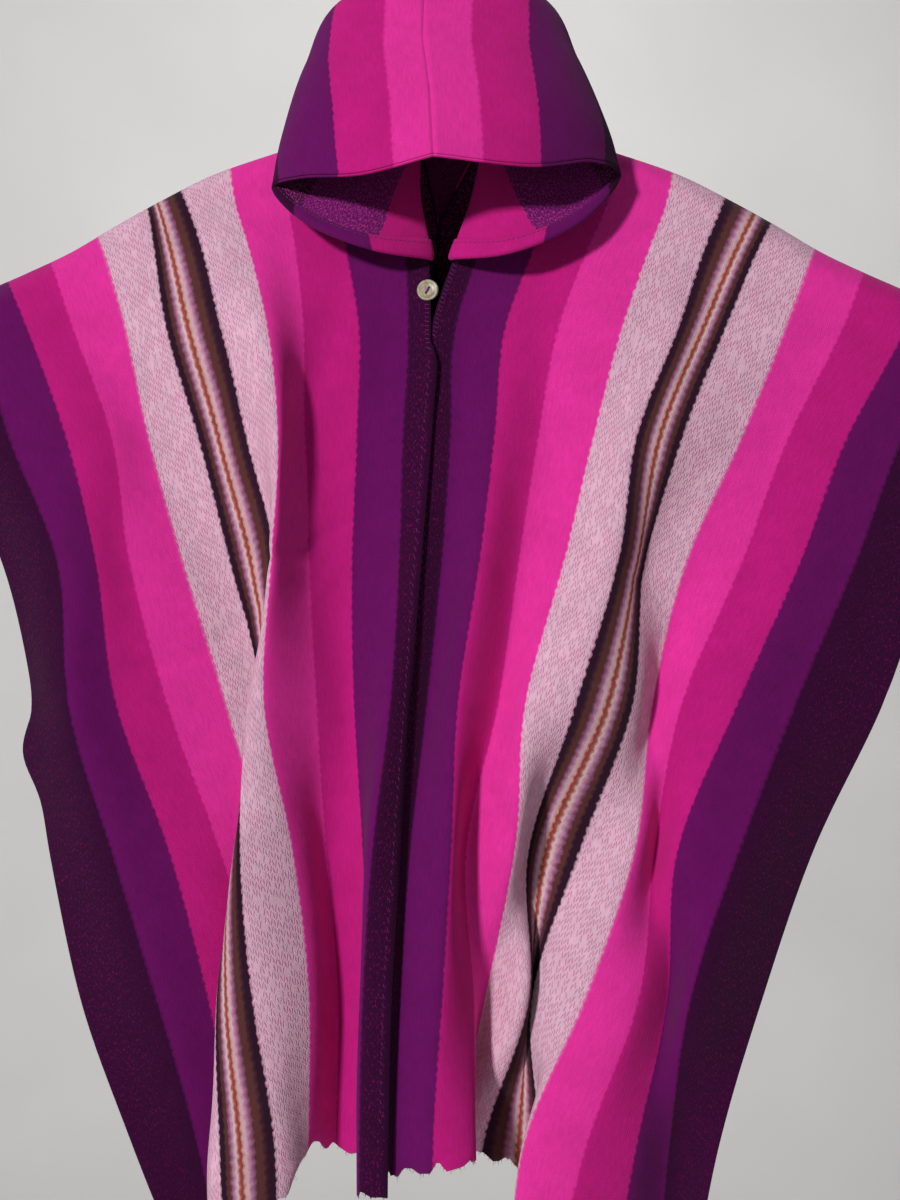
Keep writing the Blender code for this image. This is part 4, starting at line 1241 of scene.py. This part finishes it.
def studio():
    """A pale floor that sweeps up behind, three lights and a pale surround."""
    bend_starts = WALL_BEHIND - FLOOR_BEND
    profile = [(FLOOR_FRONT, FLOOR_HEIGHT), (bend_starts, FLOOR_HEIGHT)]
    for a in np.linspace(0.1, math.pi / 2, 12):
        rise = FLOOR_HEIGHT + FLOOR_BEND - FLOOR_BEND * math.cos(a)
        profile.append((bend_starts + FLOOR_BEND * math.sin(a), rise))
    profile.append((WALL_BEHIND, WALL_TOP))
    points = [(x, y, z) for x in (-FLOOR_HALF, FLOOR_HALF) for y, z in profile]
    n = len(profile)
    mesh = bpy.data.meshes.new("floor")
    mesh.from_pydata(points, [], [(i, i + 1, n + i + 1, n + i) for i in range(n - 1)])
    mesh.shade_smooth()
    made, tree, shader = start_material("pale_floor", 0.9)
    place = object_place(tree)
    tone = noise_of(tree, place, 1.5, 2.0)
    pale = ramp_of(tree, tone, tones(FLOOR_TONES))
    tree.links.new(pale, shader.inputs["Base Color"])
    mesh.materials.append(made)
    floor = placed("floor", mesh)
    for name, place, size, power, target in LAMPS:
        lamp = bpy.data.lights.new(name, "AREA")
        lamp.size = size
        lamp.energy = power
        light = placed(name, lamp)
        light.location = place
        aim = Vector(target) - light.location
        light.rotation_euler = aim.to_track_quat("-Z", "Y").to_euler()
    world = bpy.data.worlds.new("surround")
    world.use_nodes = True
    surround = world.node_tree.nodes["Background"]
    surround.inputs["Color"].default_value = SKY_COLOUR
    surround.inputs["Strength"].default_value = SKY_STRENGTH
    bpy.context.scene.world = world
    bpy.context.scene.view_settings.view_transform = "Standard"


def rides(piece, slot, *replaced):
    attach(piece, "root")
    if replaced:
        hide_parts(*replaced)


def loom_pieces(side, word, finishes):
    """One loom width and the loose ends of its hems; returns its edges along the slit."""
    grid, u, v, front, back = loom_grid(side)
    outward = side * normals(grid)
    grid = ragged(pressed(grid, outward, u, v, word), u, v, 5 + side)
    width = cloth("loom_" + word, grid, outward, u, v, finishes)
    rides(width, "wool_stripes", "front_" + word, "back_" + word)
    for end, inner, where in ((0, 1, "front"), (-1, -2, "back")):
        away = grid[:, end] - grid[:, inner]
        name, seed = "frayed_" + where + "_" + word, 40 + end + side
        hairs = fibres(name, grid[:, end], away, u[:, end], v[:, end], seed, finishes[0])
        rides(hairs, "wool_stripes")
    return grid, outward, front, back


def edge_line(side, front, start, end):
    """A line on the outer face beside the centre edge, between two lengths below the shoulder."""
    run = run_along(front[0])
    out = -side * normals(front)[1]
    kept = (run > start) & (run < end)
    return (front[1] + out * (WALL / 2 + 0.1 * MM))[kept], out[kept]


def slit_sewing(fronts, thread):
    """Stitches round the slit's edges, a bar of thread across its end, and the seam below it."""
    ends = []
    for side, word in ((-1, "left"), (1, "right")):
        line, up = edge_line(side, fronts[word], SLIT_SEWN[word], SLIT_FRONT + 2 * MM)
        ends.append((line[-1], up[-1]))
        sewn = stitches("slit_stitches_" + word, line, up, SLIT_STITCHES, thread)
        rides(sewn, "wool_hood")
        line, up = edge_line(side, fronts[word], SLIT_FRONT + 8 * MM, CLOTH_LENGTH - 10 * MM)
        sewn = stitches("seam_stitches_" + word, line, up, SEAM_STITCHES, thread)
        rides(sewn, "wool_hood")
    (one, up), (other, _) = ends
    drop = np.array([0, 0, -3.0 * MM])
    lift = up * 0.8 * MM
    path = np.stack([one + drop + lift, (one + other) / 2 + drop + lift, other + drop + lift])
    bar = stitches("slit_bar", path, np.stack([up] * 3), BAR_STITCHES, thread)
    rides(bar, "wool_hood")


def hood_pieces(side, word, front, back, finishes, hem_finishes, thread):
    columns = np.linspace(0, 1, HOOD_COLUMNS)
    rows = np.concatenate([[0], np.linspace(0.03, 1, HOOD_ROWS - 1)])
    half = clear_of_seam(side, hood_grid(side, front[0], back[0], columns, rows))
    out = flat_ends(side * normals(half), (CROWN, 0), (LAST_COLUMN, 0))
    steps = np.linalg.norm(np.diff(half, axis=1), axis=2)
    along = np.concatenate([np.cumsum(steps[:, ::-1], axis=1)[:, ::-1], np.zeros((len(half), 1))], axis=1)
    along -= HOOD_STRIPE_SHIFT * MM * (side > 0)
    inward = np.cumsum(np.linalg.norm(np.diff(half, axis=0), axis=2), axis=0)
    inward = np.concatenate([np.zeros((1, len(rows))), inward])
    piece = cloth("hood_half_" + word, half, out, along, inward, finishes, (0.1, 0.1, 0.1, 0.1))
    rides(piece, "wool_hood", "hood_" + word)
    hem, line, up = rim_hem(word, half, out, along[0], hem_finishes)
    rides(hem, "wool_hood")
    sewn = stitches("rim_stitches_" + word, line, up, RIM_STITCHES, thread)
    rides(sewn, "wool_hood")
    return half


def main():
    camera()
    studio()
    loom = stripes_group("loom_stripes", STRIPES, PALE_SPANS, PURPLE_SPANS, 480 * MM)
    hood_stripes = stripes_group("hood_stripes", HOOD_STRIPES, (), HOOD_PURPLE_SPANS, 340 * MM)
    wool, flecks = wool_group(), flecks_group()
    face = wool_material("striped_wool", loom, wool, flecks, False)
    reverse = wool_material("striped_wool_reverse", loom, wool, flecks, True)
    hood_face = wool_material("hood_wool", hood_stripes, wool, flecks, False)
    hood_reverse = wool_material("hood_wool_reverse", hood_stripes, wool, flecks, True)
    thread = thread_material()
    fronts = {}
    for side, word in ((-1, "left"), (1, "right")):
        grid, outward, front, back = loom_pieces(side, word, (face, reverse))
        fronts[word] = front
        hood_pieces(side, word, front, back, (hood_face, hood_reverse), (hood_face, hood_face), thread)
        if side < 0:
            edge, out = front[0], side * -normals(front)[0]
            row = int(np.argmax(edge[:, 2] < BUTTON_HEIGHT))
            inset = Vector(front[1, row] - front[0, row]).normalized() * BUTTON_INSET
            disc, tie = button_pieces(Vector(edge[row]) + inset, Vector(out[row]).normalized(),
                                      horn_material(), thread)
            rides(disc, "horn", "button")
            rides(tie, "wool_hood")
    slit_sewing(fronts, thread)
    for node, finish in (("hanger_arms", wood_material()), ("hanger_hook", steel_material())):
        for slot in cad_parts[node].material_slots:
            slot.material = finish


main()
